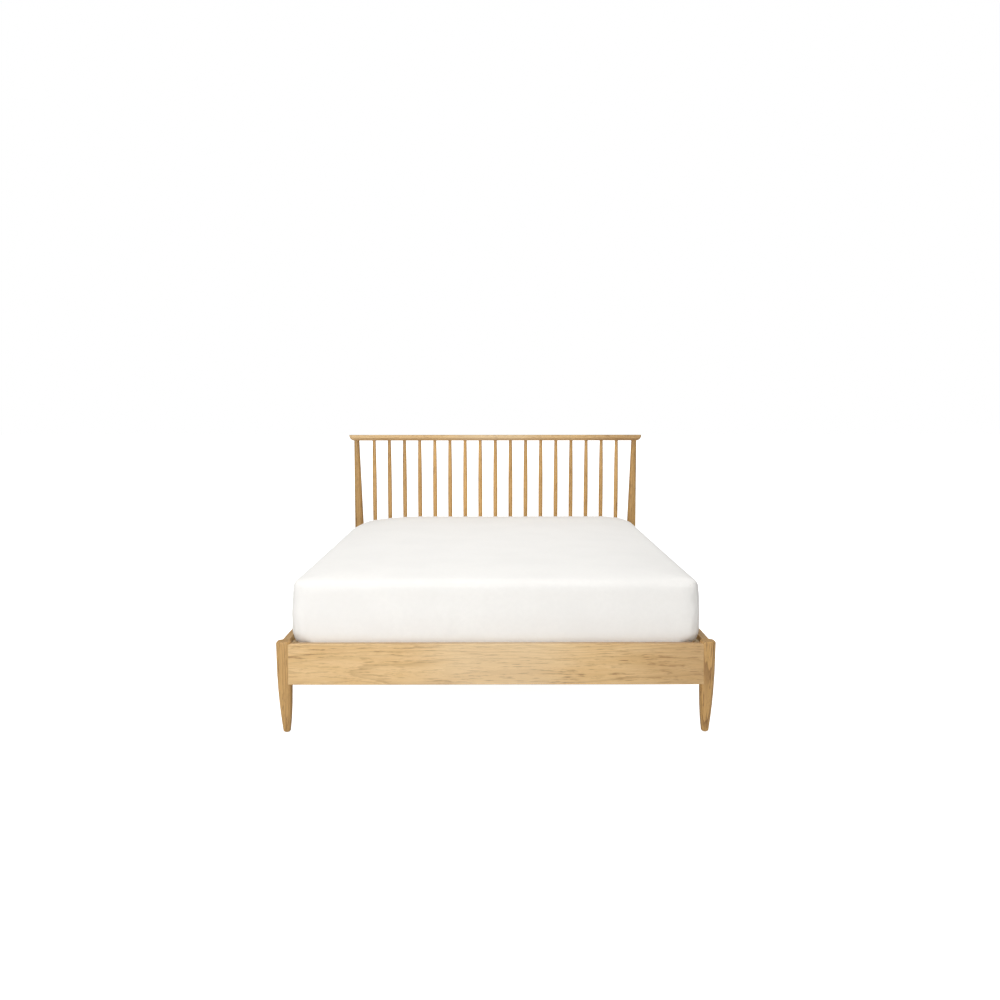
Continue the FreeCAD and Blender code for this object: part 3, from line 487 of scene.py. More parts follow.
def startShape():
    # the CAD mattress, a little smaller and with even faces
    mesh = nodes["mattress"].data.copy()
    form = bmesh.new()
    form.from_mesh(mesh)
    bmesh.ops.remove_doubles(form, verts=form.verts, dist=0.0001)
    for vert in form.verts:
        for axis in (0, 1):
            half = mattressHigh[axis] - mattressMiddle[axis]
            share = (vert.co[axis] - mattressMiddle[axis]) / half
            vert.co[axis] -= mattressLook["shrink"] * share
    form.to_mesh(mesh)
    form.free()
    scratch = placeObject("mattressStart", mesh)
    remesh = scratch.modifiers.new("even", "REMESH")
    remesh.mode = "VOXEL"
    remesh.voxel_size = mattressLook["voxel"]
    even = bakedMesh(scratch, "mattressEven")
    bpy.data.objects.remove(scratch)
    return even


def swell(mesh):
    # a light inner pressure rounds the filling, and no point moves further than maxShift
    look = mattressLook
    scratch = placeObject("mattressCloth", mesh)
    before = [vert.co.copy() for vert in mesh.vertices]
    cloth = scratch.modifiers.new("cloth", "CLOTH")
    cloth.settings.quality = look["clothQuality"]
    cloth.settings.mass = look["clothMass"]
    cloth.settings.use_pressure = True
    cloth.settings.uniform_pressure_force = look["pressure"]
    cloth.settings.effector_weights.gravity = 0.0
    cloth.point_cache.frame_start = 1
    cloth.point_cache.frame_end = look["frames"]
    for step in range(1, look["frames"] + 1):
        scene.frame_set(step)
    moved = bakedMesh(scratch, "mattressSwollen")
    scene.frame_set(1)
    for vert, start in zip(moved.vertices, before):
        shift = vert.co - start
        if shift.length > look["maxShift"]:
            shift *= look["maxShift"] / shift.length
        vert.co = start + shift
    bpy.data.objects.remove(scratch)
    return moved


def settle(mesh):
    # full width and length again, fuller sides, lower corners drawn in, a rounder top edge at the
    # foot, and lower corners at the head
    middle = mattressMiddle
    full = (mattressHigh - mattressLow) / 2
    reach = [max(abs(vert.co[axis] - middle[axis]) for vert in mesh.vertices) for axis in (0, 1)]
    for vert in mesh.vertices:
        x, y, z = vert.co
        x = middle.x + (x - middle.x) * full.x / reach[0]
        y = middle.y + (y - middle.y) * full.y / reach[1]
        draw = cornerDraw(x, y, z)
        push = fullness(z)
        x += push * (x - middle.x) / full.x - math.copysign(draw, x)
        y += push * (y - middle.y) / full.y - math.copysign(draw, y - middle.y)
        y, z = footEdge(y, z)
        vert.co.x, vert.co.y = x, y
        height = (z - mattressLow.z) / (mattressHigh.z - mattressLow.z)
        z -= softDroop(x, y) * max(0.0, height) ** 2
        vert.co.z = min(max(z, mattressLow.z), mattressHigh.z)
    return mesh


def weave(tree, thread):
    place = objectCoordinates(tree)
    return place, useGroup(tree, plainWeave, Vector=place, Facing=surfaceNormal(tree),
                           Thread=thread)


def waves(value, spacing):
    return doMath("SINE", times(value, 2 * math.pi / spacing))


def makeTicking():
    look = mattressLook
    material, tree, surface = newMaterial("tickingCloth")
    place, woven = weave(tree, look["thread"])
    x, y = splitVector(place)[:2]
    dots = times(waves(x, look["dotSpacing"]), waves(y, look["dotSpacing"]))
    dots = spread(dots, *look["dotReach"])
    cloth = linear(look["fabric"])
    shade = mixColour(spread(woven["Shade"], *look["threadTone"]), cloth,
                      dimmed(cloth, look["threadShade"]))
    shade = mixColour(times(dots, look["dotStrength"]), shade, linear(look["dots"]))
    setSurface(surface, Base_Color=shade, **look["surface"])
    height = plus(times(woven["Height"], look["threadHeight"]), dots)
    addBump(surface, height, *look["bump"])
    return material


mattressMesh = startShape()
mattressMesh = swell(mattressMesh)
mattressMesh = settle(mattressMesh)
mattressPiece = newPiece("mattress_form", mattressMesh, makeTicking(), "bedding")
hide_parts("mattress")
print("mattress filled:", len(mattressMesh.polygons), "faces")

sheetLook = {
    "straightStep": 0.011, "cornerStep": 0.006, "tuck": 0.08, "gap": 0.0006, "hemGap": 0.0004,
    "bottomRound": 0.011, "topRound": 0.03, "cornerRound": 0.05, "leastRound": 0.012,
    "sideRows": 22, "roundRows": 6, "middleGap": 0.0002, "weld": 0.0006,
    "edgeInset": 0.002, "edgeRise": (0.03, 0.06),
    "folds": 58, "foldDepth": (0.0006, 0.0026), "foldWidth": (0.010, 0.034), "foldLean": 0.05,
    "cornerFolds": 7, "cornerFoldStep": 0.035, "cornerFoldDepth": (0.001, 0.003),
    "cornerFoldWidth": (0.007, 0.014), "cornerFoldLean": 0.7, "cornerMiddle": 0.04,
    "foldStart": (0.05, 0.6), "cornerFoldStart": (0.1, 0.4), "foldRise": 0.35, "seed": 7,
    "undulation": 0.0022, "broadWaves": (3.1, 2.2), "topCalm": 0.6,
    "dragDepth": 0.0012, "dragLines": 17, "dragReach": 0.28, "dragClear": 0.02,
    "gatherDepth": 0.0032, "gatherLength": 0.021,
    "cotton": (250, 248, 244), "worn": 0.955, "thread": 0.0009,
    "patches": ((5.0, 5.0, 5.0), 3.0, 0.5), "patchTone": (0.35, 0.7, 0.0, 0.6),
    "threadTone": (0.3, 0.7, 0.0, 0.5), "threadHeight": 0.12,
    "creases": ((22.0, 22.0, 9.0), 4.0, 0.6), "creaseHeight": 1.2, "bump": (0.35, 0.0012),
    "surface": {"Roughness": 0.8, "Sheen_Weight": 0.25, "Sheen_Roughness": 0.5,
                "Specular_IOR_Level": 0.25},
}
halfWidth = (sheetHigh.x - sheetLow.x) / 2
halfLength = (sheetHigh.y - sheetLow.y) / 2
sheetEdge = sheetHigh.z - mattressLook["crown"]
# where the rows lie from the bottom edge to the hem, and from the top edge to the middle
hemShares = (1.0, 0.93, 0.8, 0.6, 0.4, 0.2)
topShares = (0.02, 0.045, 0.08, 0.12, 0.17, 0.23, 0.3, 0.38, 0.47, 0.57, 0.67, 0.77, 0.87,
             0.95, 1.0)


def planColumns():
    # points round the plan: kind of run, its direction, share of the run, distance so far
    radius = sheetLook["cornerRound"]
    columns, travelled = [], 0.0
    for number in range(4):
        angle = number * math.pi / 2
        side = 2 * ((halfWidth if number % 2 else halfLength) - radius)
        for kind, length in (("straight", side), ("corner", radius * math.pi / 2)):
            count = round(length / sheetLook[kind + "Step"])
            for step in range(count):
                share = -1 + 2 * step / count if kind == "straight" else step / count
                columns.append((kind, angle, share, travelled + length * step / count))
            travelled += length
    return columns, travelled


def planPoint(column, inset):
    # one column's place in plan, that far in from the outline, and the way it faces
    kind, angle, share = column[:3]
    width, length = halfWidth - inset, halfLength - inset
    radius = min(max(sheetLook["cornerRound"] - inset * 0.6, sheetLook["leastRound"]), width * 0.9)
    outward = Vector((math.cos(angle), math.sin(angle), 0.0))
    ahead = Vector((-math.sin(angle), math.cos(angle), 0.0))
    reach = abs(outward.x) * width + abs(outward.y) * length
    half = abs(ahead.x) * width + abs(ahead.y) * length - radius
    if kind == "straight":
        return outward * reach + ahead * half * share, outward
    turn = share * math.pi / 2
    facing = outward * math.cos(turn) + ahead * math.sin(turn)
    return outward * (reach - radius) + ahead * half + facing * radius, facing


def sheetRows():
    # height and inset of each row, from the hem under the mattress up to the middle of the top
    look = sheetLook
    bottom, low, high = sheetLow.z, look["bottomRound"], look["topRound"]
    rows = [("hem", bottom, low + (look["tuck"] - low) * share) for share in hemShares]
    turns = [math.pi / 2 * number / look["roundRows"] for number in range(look["roundRows"] + 1)]
    for turn in turns:
        rows.append(("side", bottom + low * (1 - math.cos(turn)), low * (1 - math.sin(turn))))
    for number in range(1, look["sideRows"]):
        share = number / look["sideRows"]
        rows.append(("side", bottom + low + (sheetEdge - high - bottom - low) * share, 0.0))
    for turn in turns:
        rows.append(("side", sheetEdge - high * (1 - math.sin(turn)), high * (1 - math.cos(turn))))
    for share in topShares:
        inset = min(high + (halfWidth - high) * share, halfWidth - sheetLook["middleGap"])
        rise = mattressLook["crown"] * (1 - (1 - share) ** 2)
        rows.append(("top", sheetEdge + rise, inset))
    return rows


def makeFolds(perimeter):
    look = sheetLook
    chance = random.Random(look["seed"])
    return [{
        "at": chance.uniform(0, perimeter), "depth": chance.uniform(*look["foldDepth"]),
        "width": chance.uniform(*look["foldWidth"]),
        "lean": chance.uniform(-1, 1) * look["foldLean"],
        "start": chance.uniform(*look["foldStart"])} for number in range(look["folds"])]


def cornerFolds(columns):
    # short folds fan out below each corner, where the elastic pulls hardest
    look = sheetLook
    chance = random.Random(look["seed"] + 1)
    folds = []
    for kind, angle, share, travelled in columns:
        if kind == "corner" and share == 0.0:
            for number in range(look["cornerFolds"]):
                offset = (number - look["cornerFolds"] // 2) * look["cornerFoldStep"]
                offset += chance.uniform(-0.01, 0.01)
                folds.append({
                    "at": travelled + look["cornerMiddle"] + offset,
                    "depth": chance.uniform(*look["cornerFoldDepth"]),
                    "width": chance.uniform(*look["cornerFoldWidth"]),
                    "lean": -offset * look["cornerFoldLean"],
                    "start": chance.uniform(*look["cornerFoldStart"])})
    return folds


def foldHeight(folds, along, fall, perimeter):
    total = 0.0
    for fold in folds:
        if fall <= fold["start"]:
            continue
        away = along - fold["at"] - fold["lean"] * fall
        away = (away + perimeter / 2) % perimeter - perimeter / 2
        if abs(away) > fold["width"] * 3:
            continue
        rise = min((fall - fold["start"]) / sheetLook["foldRise"], 1.0)
        ridge = math.exp(-(away / fold["width"]) ** 2)
        total += fold["depth"] * ridge * rise * rise * (3 - 2 * rise)
    return total


def hemSway(column):
    # the elastic gathers the hem into small even waves
    return sheetLook["gatherDepth"] * math.sin(column[3] / sheetLook["gatherLength"] * 2 * math.pi)


def topDrag(x, y):
    # faint lines from each corner of the top towards its middle
    away = Vector((halfWidth - abs(x), halfLength - abs(y)))
    distance = away.length
    if distance < sheetLook["dragClear"]:
        return 0.0
    angle = math.atan2(away.y, away.x)
    start = (1.3 if x > 0 else 0.2) + (0.8 if y > 0 else 0.0)
    drag = sheetLook["dragDepth"] * max(0.0, math.sin(angle * sheetLook["dragLines"] + start))
    return drag * math.exp(-distance / sheetLook["dragReach"]) * min(distance / 0.08, 1)


def turned(ring):
    return ring[1:] + ring[:1]


def makeSheetMesh():
    look = sheetLook
    columns, perimeter = planColumns()
    folds = makeFolds(perimeter) + cornerFolds(columns)
    near, far = look["edgeRise"]
    tight = BVHTree.FromPolygons([vert.co for vert in mattressMesh.vertices],
                                 [tuple(polygon.vertices) for polygon in mattressMesh.polygons])
    form = bmesh.new()

    def hemPlace(column, inset, point, facing):
        edge = max(0.0, (inset - look["bottomRound"]) / (look["tuck"] - look["bottomRound"]))
        sway = hemSway(column) * edge
        return Vector((point.x + facing.x * sway, point.y + facing.y * sway,
                       sheetLow.z + look["hemGap"]))

    def clothPlace(kind, height, column, flat, point, facing):
        across, upward = look["broadWaves"]
        broad = noise.noise(Vector((point.x * across, point.y * across, height * upward))) + 1
        if kind == "top":
            lift = look["undulation"] * look["topCalm"] * broad / 2 + topDrag(flat.x, flat.y)
        else:
            fall = (sheetEdge - height) / (sheetEdge - sheetLow.z)
            fade = math.sin(math.pi * min(fall * 1.1, 1))
            lift = foldHeight(folds, column[3], fall, perimeter)
            lift += look["undulation"] * broad / 2 * fade
        found, normal = tight.find_nearest(point)[:2]
        place = found + normal * (look["gap"] + lift)
        place.z = max(place.z, sheetLow.z)
        # low down the sheet keeps to its own outline, square below the filling's softer edge
        hold = min(max((far - height + sheetLow.z) / (far - near), 0.0), 1.0)
        own = point - facing * look["edgeInset"]
        draw = cornerDraw(own.x, own.y, own.z)
        own.x -= math.copysign(draw, own.x)
        own.y -= math.copysign(draw, own.y - sheetMiddle.y)
        return place.lerp(own, hold) if (own - found).dot(facing) > look["gap"] else place

    rings = []
    for kind, height, inset in sheetRows():
        ring = []
        for column in columns:
            flat, facing = planPoint(column, inset)
            point = Vector((flat.x + sheetMiddle.x, flat.y + sheetMiddle.y, height))
            if kind == "hem":
                place = hemPlace(column, inset, point, facing)
            else:
                place = clothPlace(kind, height, column, flat, point, facing)
            ring.append(form.verts.new(place))
        rings.append(ring)
    for lower, upper in zip(rings, rings[1:]):
        for corners in zip(lower, turned(lower), turned(upper), upper):
            form.faces.new(corners)
    bmesh.ops.remove_doubles(form, verts=form.verts, dist=look["weld"])
    bmesh.ops.dissolve_degenerate(form, edges=form.edges, dist=0.0001)
    bmesh.ops.recalc_face_normals(form, faces=form.faces)
    mesh = bpy.data.meshes.new("fittedSheet")
    form.to_mesh(mesh)
    form.free()
    return mesh


def makeCotton():
    look = sheetLook
    material, tree, surface = newMaterial("whiteCotton")
    place, woven = weave(tree, look["thread"])
    cloth = linear(look["cotton"])
    worn = dimmed(cloth, look["worn"])
    patches = noiseField(place, *look["patches"])
    tone = mixColour(spread(patches, *look["patchTone"]), cloth, worn)
    tone = mixColour(spread(woven["Shade"], *look["threadTone"]), tone, worn)
    setSurface(surface, Base_Color=tone, **look["surface"])
    crease = noiseField(place, *look["creases"])
    height = plus(times(woven["Height"], look["threadHeight"]), times(crease, look["creaseHeight"]))
    addBump(surface, height, *look["bump"])
    return material


cottonCloth = makeCotton()
sheetMesh = makeSheetMesh()
sheetPiece = newPiece("sheet_cover", sheetMesh, cottonCloth, "bedding")
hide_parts("fitted_sheet")
print("sheet drawn over:", len(sheetMesh.polygons), "faces")


def shapeTree(name, values):
    # a Geometry Nodes tree with an input for each value
    return newTree("GeometryNodeTree", name, {"Geometry": None, **values}, {"Geometry": None})


def shapeNode(tree, kind, **values):
    return addNode(tree, "GeometryNode" + kind, **values)


def finishTree(made, geometry, material):
    tree = geometry.id_data
    real = shapeNode(tree, "RealizeInstances", Geometry=geometry)
    painted = shapeNode(tree, "SetMaterial", Geometry=real, Material=material)
    feed(made["Geometry"], painted)


def bakeTree(tree, mesh, name, values):
    # the tree's result on a scratch object, as a plain mesh
    scratch = placeObject(name + "Scratch", mesh)
    modifier = scratch.modifiers.new("build", "NODES")
    modifier.node_group = tree
    for item in tree.interface.items_tree:
        if item.name in values:
            modifier[item.identifier] = values[item.name]
    baked = bakedMesh(scratch, name)
    bpy.data.objects.remove(scratch)
    return baked


def pointMesh(points, aims=(), edges=()):
    mesh = bpy.data.meshes.new("points")
    mesh.from_pydata(points, edges, [])
    if aims:
        attribute = mesh.attributes.new("aim", "FLOAT_VECTOR", "POINT")
        attribute.data.foreach_set("vector", [value for aim in aims for value in aim])
    return mesh


def tube(tree, curve, radius, sides, **values):
    ring = shapeNode(tree, "CurvePrimitiveCircle", Resolution=sides, Radius=radius)
    return shapeNode(tree, "CurveToMesh", Curve=curve, Profile_Curve=ring, **values)


def crispPiece(name, mesh, material, body):
    piece = newPiece(name, mesh, material, body)
    mesh.set_sharp_from_angle(angle=math.radians(35))
    return piece


hemLook = {"cordRadius": 0.0013, "gatherPitch": 0.009, "gatherSwell": 0.25, "rise": 0.0016}


def makeHem():
    # the sheet's gathered elastic edge under the mattress
    columns, perimeter = planColumns()
    path = []
    for column in columns:
        flat, facing = planPoint(column, sheetLook["tuck"])
        flat += facing * hemSway(column)
        path.append((flat.x + sheetMiddle.x, flat.y + sheetMiddle.y, sheetLow.z + hemLook["rise"]))
    numbers = list(range(len(path)))
    edges = list(zip(numbers, turned(numbers)))
    values = {"Cord Radius": hemLook["cordRadius"], "Gathers": perimeter / hemLook["gatherPitch"],
              "Gather Swell": hemLook["gatherSwell"]}
    tree, given, made = shapeTree("gatheredHem", values)
    gathers = given["Gathers"]
    curve = shapeNode(tree, "MeshToCurve", Mesh=given["Geometry"])
    curve = shapeNode(tree, "ResampleCurve", Curve=curve, Count=times(gathers, 4.0))
    share = shapeNode(tree, "SplineParameter")
    turn = times(times(share, gathers), 2 * math.pi)
    swelling = times(doMath("SINE", turn), given["Gather Swell"])
    cord = tube(tree, curve, given["Cord Radius"], 6, Scale=plus(swelling, 0.8))
    finishTree(made, cord, cottonCloth)
    mesh = bakeTree(tree, pointMesh(path, edges=edges), "sheetHem", values)
    newPiece("sheet_hem", mesh, cottonCloth, "bedding")


makeHem()
print("hem gathered")

steelLook = {
    "zinc": (196, 197, 196), "dull": (150, 152, 152), "spangle": 130.0,
    "spangleTone": (0.1, 0.8, 0.0, 0.35), "scratches": ((90.0, 90.0, 900.0), 3.0, 0.6),
    "patches": ((22.0, 22.0, 22.0), 4.0, 0.6), "patchReach": (0.4, 0.75),
    "stain": (176, 172, 158), "stainStrength": 0.4, "stainRoughness": 0.15, "metallic": 0.9,
    "roughness": (0.3, 0.7, 0.28, 0.5), "bump": (0.25, 0.0002),
}
plasticLook = {
    "leveler": {"colour": (24, 24, 26), "roughness": 0.45, "grain": (420.0, 420.0, 420.0)},
    "glide": {"colour": (216, 209, 192), "roughness": 0.36, "grain": (160.0, 160.0, 160.0)},
    "wear": ((35.0, 35.0, 35.0), 3.0, 0.5), "wearTone": (0.4, 0.75, 0.0, 0.35),
    "bump": (0.4, 0.0003),
}
webbingLook = {
    "colour": (205, 199, 184), "shade": 0.72, "rib": 0.0024, "ribTone": (-1.0, 0.2, 0.5, 0.0),
    "thread": 0.0011, "threadTone": (0.35, 0.7, 0.0, 0.4), "threadHeight": 0.3,
    "surface": {"Roughness": 0.82, "Sheen_Weight": 0.15}, "bump": (0.6, 0.0005),
}


def makeZinc():
    look = steelLook
    material, tree, surface = newMaterial("zincPlate")
    place = objectCoordinates(tree)
    cells = addNode(tree, "ShaderNodeTexVoronoi", "Distance", Vector=place, Scale=look["spangle"])
    scratches = noiseField(place, *look["scratches"])
    stain = spread(noiseField(place, *look["patches"]), *look["patchReach"])
    tone = mixColour(spread(cells, *look["spangleTone"]), linear(look["zinc"]),
                     linear(look["dull"]))
    tone = mixColour(times(stain, look["stainStrength"]), tone, linear(look["stain"]))
    rough = plus(spread(scratches, *look["roughness"]), times(stain, look["stainRoughness"]))
    setSurface(surface, Base_Color=tone, Metallic=look["metallic"], Roughness=rough)
    addBump(surface, scratches, *look["bump"])
    return material


def makePlastic(name, look):
    material, tree, surface = newMaterial(name)
    place = objectCoordinates(tree)
    fine = noiseField(place, look["grain"], 3.0, 0.55)
    wear = noiseField(place, *plasticLook["wear"])
    base = linear(look["colour"])
    worn = tuple(min(1.0, value * 1.5 + 0.01) for value in base[:3]) + (1.0,)
    tone = mixColour(spread(wear, *plasticLook["wearTone"]), base, worn)
    rough = spread(fine, 0.3, 0.7, look["roughness"] - 0.08, look["roughness"] + 0.1)
    setSurface(surface, Base_Color=tone, Roughness=rough)
    addBump(surface, fine, *plasticLook["bump"])
    return material


def makeWebbing():
    look = webbingLook
    material, tree, surface = newMaterial("deckWebbing")
    place, woven = weave(tree, look["thread"])
    ribs = waves(splitVector(place)[0], look["rib"])
    base = linear(look["colour"])
    shade = dimmed(base, look["shade"])
    tone = mixColour(spread(ribs, *look["ribTone"]), base, shade)
    tone = mixColour(spread(woven["Shade"], *look["threadTone"]), tone, shade)
    setSurface(surface, Base_Color=tone, **look["surface"])
    height = plus(times(woven["Height"], look["threadHeight"]), ribs)
    addBump(surface, height, *look["bump"])
    return material


zincPlate = makeZinc()
blackPlastic = makePlastic("blackPlastic", plasticLook["leveler"])
glideNylon = makePlastic("glideNylon", plasticLook["glide"])
dress(named("beam_hanger", "corner_plate", "hanger_bolts", "flange_nuts", "wood_screws"), zincPlate)
dress(named("leveler"), blackPlastic)
dress(named("leg_glides"), glideNylon)
dress(named("slat_strap"), makeWebbing())
print("fixings, feet and straps dressed")

stapleLook = {"Crown": 0.011, "Depth": 0.006, "Wire": 0.0006, "Bend": 0.0012}
stapleSpacing = 0.034


def makeStaples():
    # two wire staples hold each strap to each slat, from below
    points = []
    for strap in named("slat_strap"):
        strapLow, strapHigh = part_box(strap)
        for slat in named("slat_0", "slat_1"):
            slatLow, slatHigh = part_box(slat)
            for side in (-0.5, 0.5):
                points.append(((strapLow.x + strapHigh.x) / 2,
                               (slatLow.y + slatHigh.y) / 2 + side * stapleSpacing,
                               strapLow.z + stapleLook["Depth"] / 2 - stapleLook["Wire"]))
    tree, given, made = shapeTree("wireStaple", stapleLook)
    loop = shapeNode(tree, "CurvePrimitiveQuadrilateral", Width=given["Crown"],
                     Height=given["Depth"])
    loop = addNode(tree, "GeometryNodeFilletCurve", settings=(("mode", "POLY"),), Curve=loop,
                   Count=3, Radius=given["Bend"])
    wire = shapeNode(tree, "Transform", Rotation=(math.pi / 2, 0.0, 0.0),
                     Geometry=tube(tree, loop, given["Wire"], 6))
    placed = shapeNode(tree, "InstanceOnPoints", Points=given["Geometry"], Instance=wire)
    finishTree(made, placed, zincPlate)
    mesh = bakeTree(tree, pointMesh(points), "strapStaples", stapleLook)
    newPiece("strap_staples", mesh, zincPlate, "frame")


makeStaples()
print("staples driven")

screwLook = {"Rim": 0.00455, "Crown": 0.0034, "Rise": 0.0009, "Slot Length": 0.0044,
             "Slot Width": 0.0011, "Slot Lift": 0.75}
shankRadius = 0.0035


def meshIslands(mesh):
    # lists of the points that hang together
    form = bmesh.new()
    form.from_mesh(mesh)
    bmesh.ops.remove_doubles(form, verts=form.verts, dist=0.00002)
    seen, islands = set(), []
    for start in form.verts:
        if start in seen:
            continue
        seen.add(start)
        island, queue = [], [start]
        while queue:
            vert = queue.pop()
            island.append(vert.co.copy())
            for edge in vert.link_edges:
                other = edge.other_vert(vert)
                if other not in seen:
                    seen.add(other)
                    queue.append(other)
        islands.append(island)
    form.free()
    return islands


def screwHeads():
    # place of each wood screw's head and the way it faces, from the screws' own mesh
    places, aims = [], []
    for island in meshIslands(nodes["wood_screws"].data):
        low = Vector([min(co[axis] for co in island) for axis in range(3)])
        high = Vector([max(co[axis] for co in island) for axis in range(3)])
        place = (low + high) / 2
        along = max(range(3), key=lambda axis: high[axis] - low[axis])
        across = 0 if along else 1
        head = [co for co in island if abs(co[across] - place[across]) > shankRadius]
        ahead = sum(co[along] for co in head) / len(head) > place[along]
        aim = Vector(zero)
        aim[along] = 1.0 if ahead else -1.0
        place[along] = high[along] if ahead else low[along]
        places.append(place)
        aims.append(aim)
    return places, aims


def makeScrewHeads():
    # a bevelled cap with a cross recess on every wood screw
    places, aims = screwHeads()
    tree, given, made = shapeTree("crossHead", screwLook)
    length, width, rise = given["Slot Length"], given["Slot Width"], given["Rise"]
    cap = shapeNode(tree, "MeshCone", Vertices=24, Radius_Top=given["Crown"],
                    Radius_Bottom=given["Rim"], Depth=rise)
    lift = joinVector(0.0, 0.0, times(rise, given["Slot Lift"]))
    cut = tree.nodes.new("GeometryNodeMeshBoolean")
    cut.operation = "DIFFERENCE"
    feed(cut.inputs["Mesh 1"], cap)
    for size in ((length, width, rise), (width, length, rise)):
        slot = shapeNode(tree, "MeshCube", Size=joinVector(*size))
        slot = shapeNode(tree, "Transform", Geometry=slot, Translation=lift)
        feed(cut.inputs["Mesh 2"], slot)
    aim = addNode(tree, "GeometryNodeInputNamedAttribute", "Attribute",
                  (("data_type", "FLOAT_VECTOR"),), Name="aim")
    turn = addNode(tree, "FunctionNodeAlignRotationToVector", "Rotation", (("axis", "Z"),),
                   Vector=aim)
    placed = shapeNode(tree, "InstanceOnPoints", Points=given["Geometry"],
                       Instance=cut.outputs["Mesh"], Rotation=turn)
    finishTree(made, placed, zincPlate)
    mesh = bakeTree(tree, pointMesh(places, aims), "screwHeads", screwLook)
    crispPiece("screw_heads", mesh, zincPlate, "frame")
    return len(places)


print("screw heads cut:", makeScrewHeads())

levelerLook = {"Ribs": 28, "Rib Radius": 0.0009, "Rib Height": 0.003, "Stem Radius": 0.004,
               "Thread": 0.00035}
levelerPlaces = {"ribs": 0.003, "footTop": 0.006, "threadTop": 0.03, "pitch": 0.00125}


def makeLevelerGrip(name):
    # grip ribs round the foot and the thread on the stem of one leveler
    low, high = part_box(name)
    middle = (low + high) / 2
    footTop = low.z + levelerPlaces["footTop"]
    threadHeight = levelerPlaces["threadTop"] - footTop
    values = {
        **levelerLook, "Foot Radius": (high.x - low.x) / 2, "Thread Height": threadHeight,
        "Turns": threadHeight / levelerPlaces["pitch"],
        "Foot Place": (middle.x, middle.y, low.z + levelerPlaces["ribs"]),
        "Stem Place": (middle.x, middle.y, footTop)}
    tree, given, made = shapeTree("levelerGrip", values)
    rim = shapeNode(tree, "MeshCircle", Vertices=given["Ribs"], Radius=given["Foot Radius"])
    rib = shapeNode(tree, "MeshCylinder", Vertices=8, Radius=given["Rib Radius"],
                    Depth=given["Rib Height"])
    ribs = shapeNode(tree, "InstanceOnPoints", Points=rim, Instance=rib)
    helix = shapeNode(tree, "CurveSpiral", Resolution=16, Rotations=given["Turns"],
                      Start_Radius=given["Stem Radius"], End_Radius=given["Stem Radius"],
                      Height=given["Thread Height"])
    thread = tube(tree, helix, given["Thread"], 5, Fill_Caps=True)
    both = tree.nodes.new("GeometryNodeJoinGeometry")
    for shape, place in ((ribs, "Foot Place"), (thread, "Stem Place")):
        moved = shapeNode(tree, "Transform", Geometry=shape, Translation=given[place])
        feed(both.inputs[0], moved)
    finishTree(made, both.outputs[0], blackPlastic)
    mesh = bakeTree(tree, pointMesh([zero]), name + "Grip", values)
    crispPiece(name + "_grip", mesh, blackPlastic, name)


for levelerName in named("leveler"):
    makeLevelerGrip(levelerName)
print("levelers ribbed")

stageLook = {
    "floorSize": 60.0, "floorColour": 0.9, "floorRoughness": 0.9, "seenGlow": 0.92,
    "shadeGlow": 0.25, "skyLight": 0.84, "shadeX": (0.55, 0.85), "shadeFoot": (-0.42, -0.1),
    "shadeHead": (0.8, 1.1),
}
lightLook = {
    "key": {"place": (-2.2, -4.2, 1.9), "aim": (-0.1, -0.9, 0.4), "size": 1.6, "power": 41},
    "front": {"place": (0.0, -5.0, 1.2), "aim": (0.0, -1.0, 0.4), "size": 2.0, "power": 30},
    "top": {"place": (-0.6, -1.2, 3.2), "aim": (-0.1, -0.3, 0.4), "size": 2.6, "power": 22},
    "head": {"place": (0.0, 0.6, 3.0), "aim": (0.0, 0.5, 0.4), "size": 1.8, "power": 15},
}
cameraLook = {
    "place": (-0.0048, -4.569, 1.2445), "pitch": 0.0974, "yaw": -0.0027, "roll": -0.0006,
    "lens": 34.56, "sensor": 36.0, "shift": (0.00287, -0.00548),
}


def cameraRay(tree):
    return addNode(tree, "ShaderNodeLightPath", "Is Camera Ray")


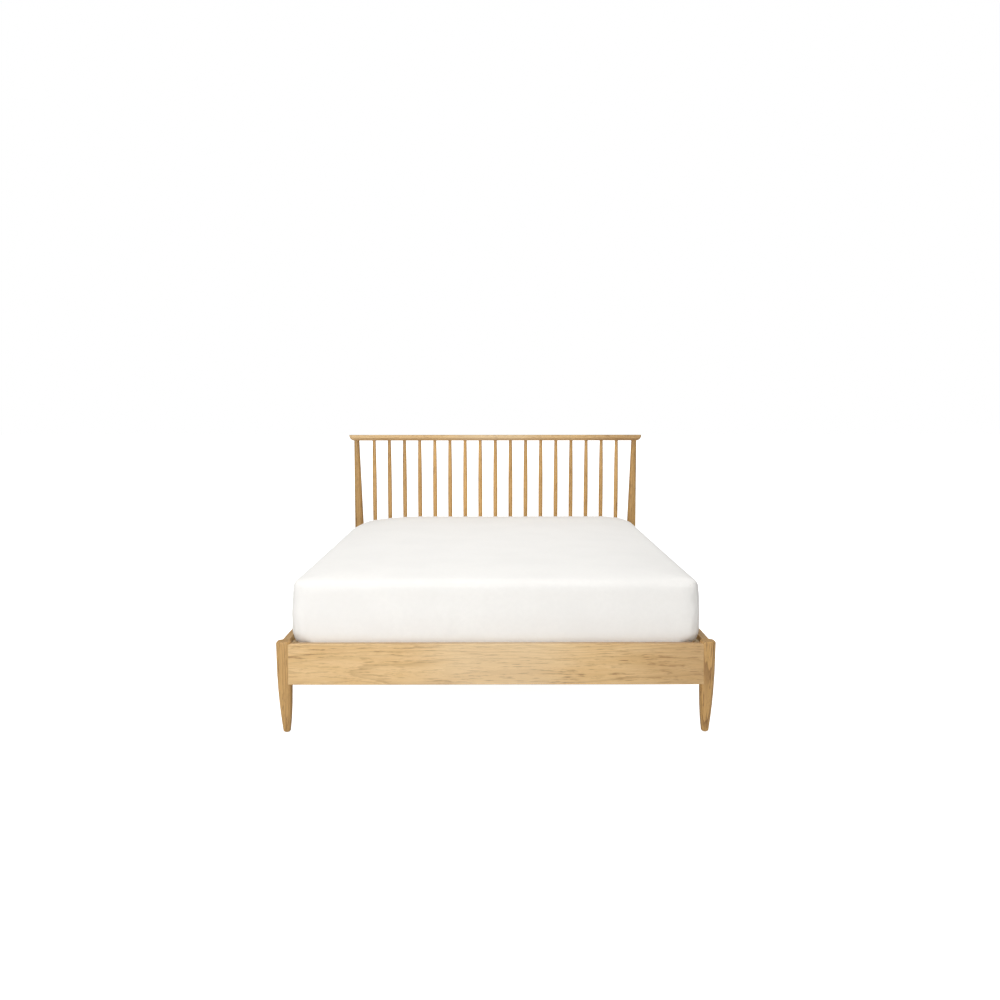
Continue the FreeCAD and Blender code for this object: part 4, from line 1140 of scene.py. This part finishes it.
def makeStage():
    half = stageLook["floorSize"] / 2
    mesh = bpy.data.meshes.new("floor")
    mesh.from_pydata([(-half, -half, 0), (half, -half, 0), (half, half, 0), (-half, half, 0)],
                     [], [(0, 1, 2, 3)])
    floor = placeObject("floor", mesh)
    material, tree, surface = newMaterial("paleFloor")
    # the floor glows for the camera, less so in the bed's own shade
    x, y = splitVector(objectCoordinates(tree))[:2]
    shade = spread(doMath("ABSOLUTE", x), *stageLook["shadeX"], 1.0, 0.0)
    shade = times(shade, spread(y, *stageLook["shadeFoot"]))
    shade = times(shade, spread(y, *stageLook["shadeHead"], 1.0, 0.0))
    glow = spread(shade, 0.0, 1.0, stageLook["seenGlow"], stageLook["shadeGlow"], False)
    setSurface(surface, Base_Color=dimmed(white, stageLook["floorColour"]),
               Roughness=stageLook["floorRoughness"], Specular_IOR_Level=0.1,
               Emission_Color=white, Emission_Strength=times(cameraRay(tree), glow))
    mesh.materials.append(material)


def makeSky():
    world = bpy.data.worlds.new("softWhite")
    scene.world = world
    world.use_nodes = True
    tree = world.node_tree
    height = splitVector(objectCoordinates(tree))[2]
    lit = spread(height, 0.0, 1.0, 0.0, stageLook["skyLight"])
    strength = spread(cameraRay(tree), 0.0, 1.0, lit, 1.0, False)
    feedAll(tree.nodes["Background"].inputs, {"Color": white, "Strength": strength})


def makeLight(name, look):
    data = bpy.data.lights.new(name, "AREA")
    data.size = look["size"]
    data.energy = look["power"]
    light = placeObject(name, data)
    light.location = look["place"]
    toward = Vector(look["aim"]) - Vector(look["place"])
    light.rotation_euler = toward.to_track_quat("-Z", "Y").to_euler()


def makeCamera():
    data = bpy.data.cameras.new("camera")
    data.lens = cameraLook["lens"]
    data.sensor_width = cameraLook["sensor"]
    data.shift_x, data.shift_y = cameraLook["shift"]
    camera = placeObject("camera", data)
    camera.location = cameraLook["place"]
    tilt = Euler((math.pi / 2 - cameraLook["pitch"], 0.0, cameraLook["yaw"])).to_matrix()
    roll = Euler((0.0, 0.0, cameraLook["roll"])).to_matrix()
    camera.rotation_euler = (tilt @ roll).to_euler()
    scene.camera = camera


makeStage()
makeSky()
for lightName, lightValues in lightLook.items():
    makeLight(lightName, lightValues)
makeCamera()
scene.view_settings.view_transform = "Standard"
print("stage, light and camera set")

bpy.context.view_layer.update()
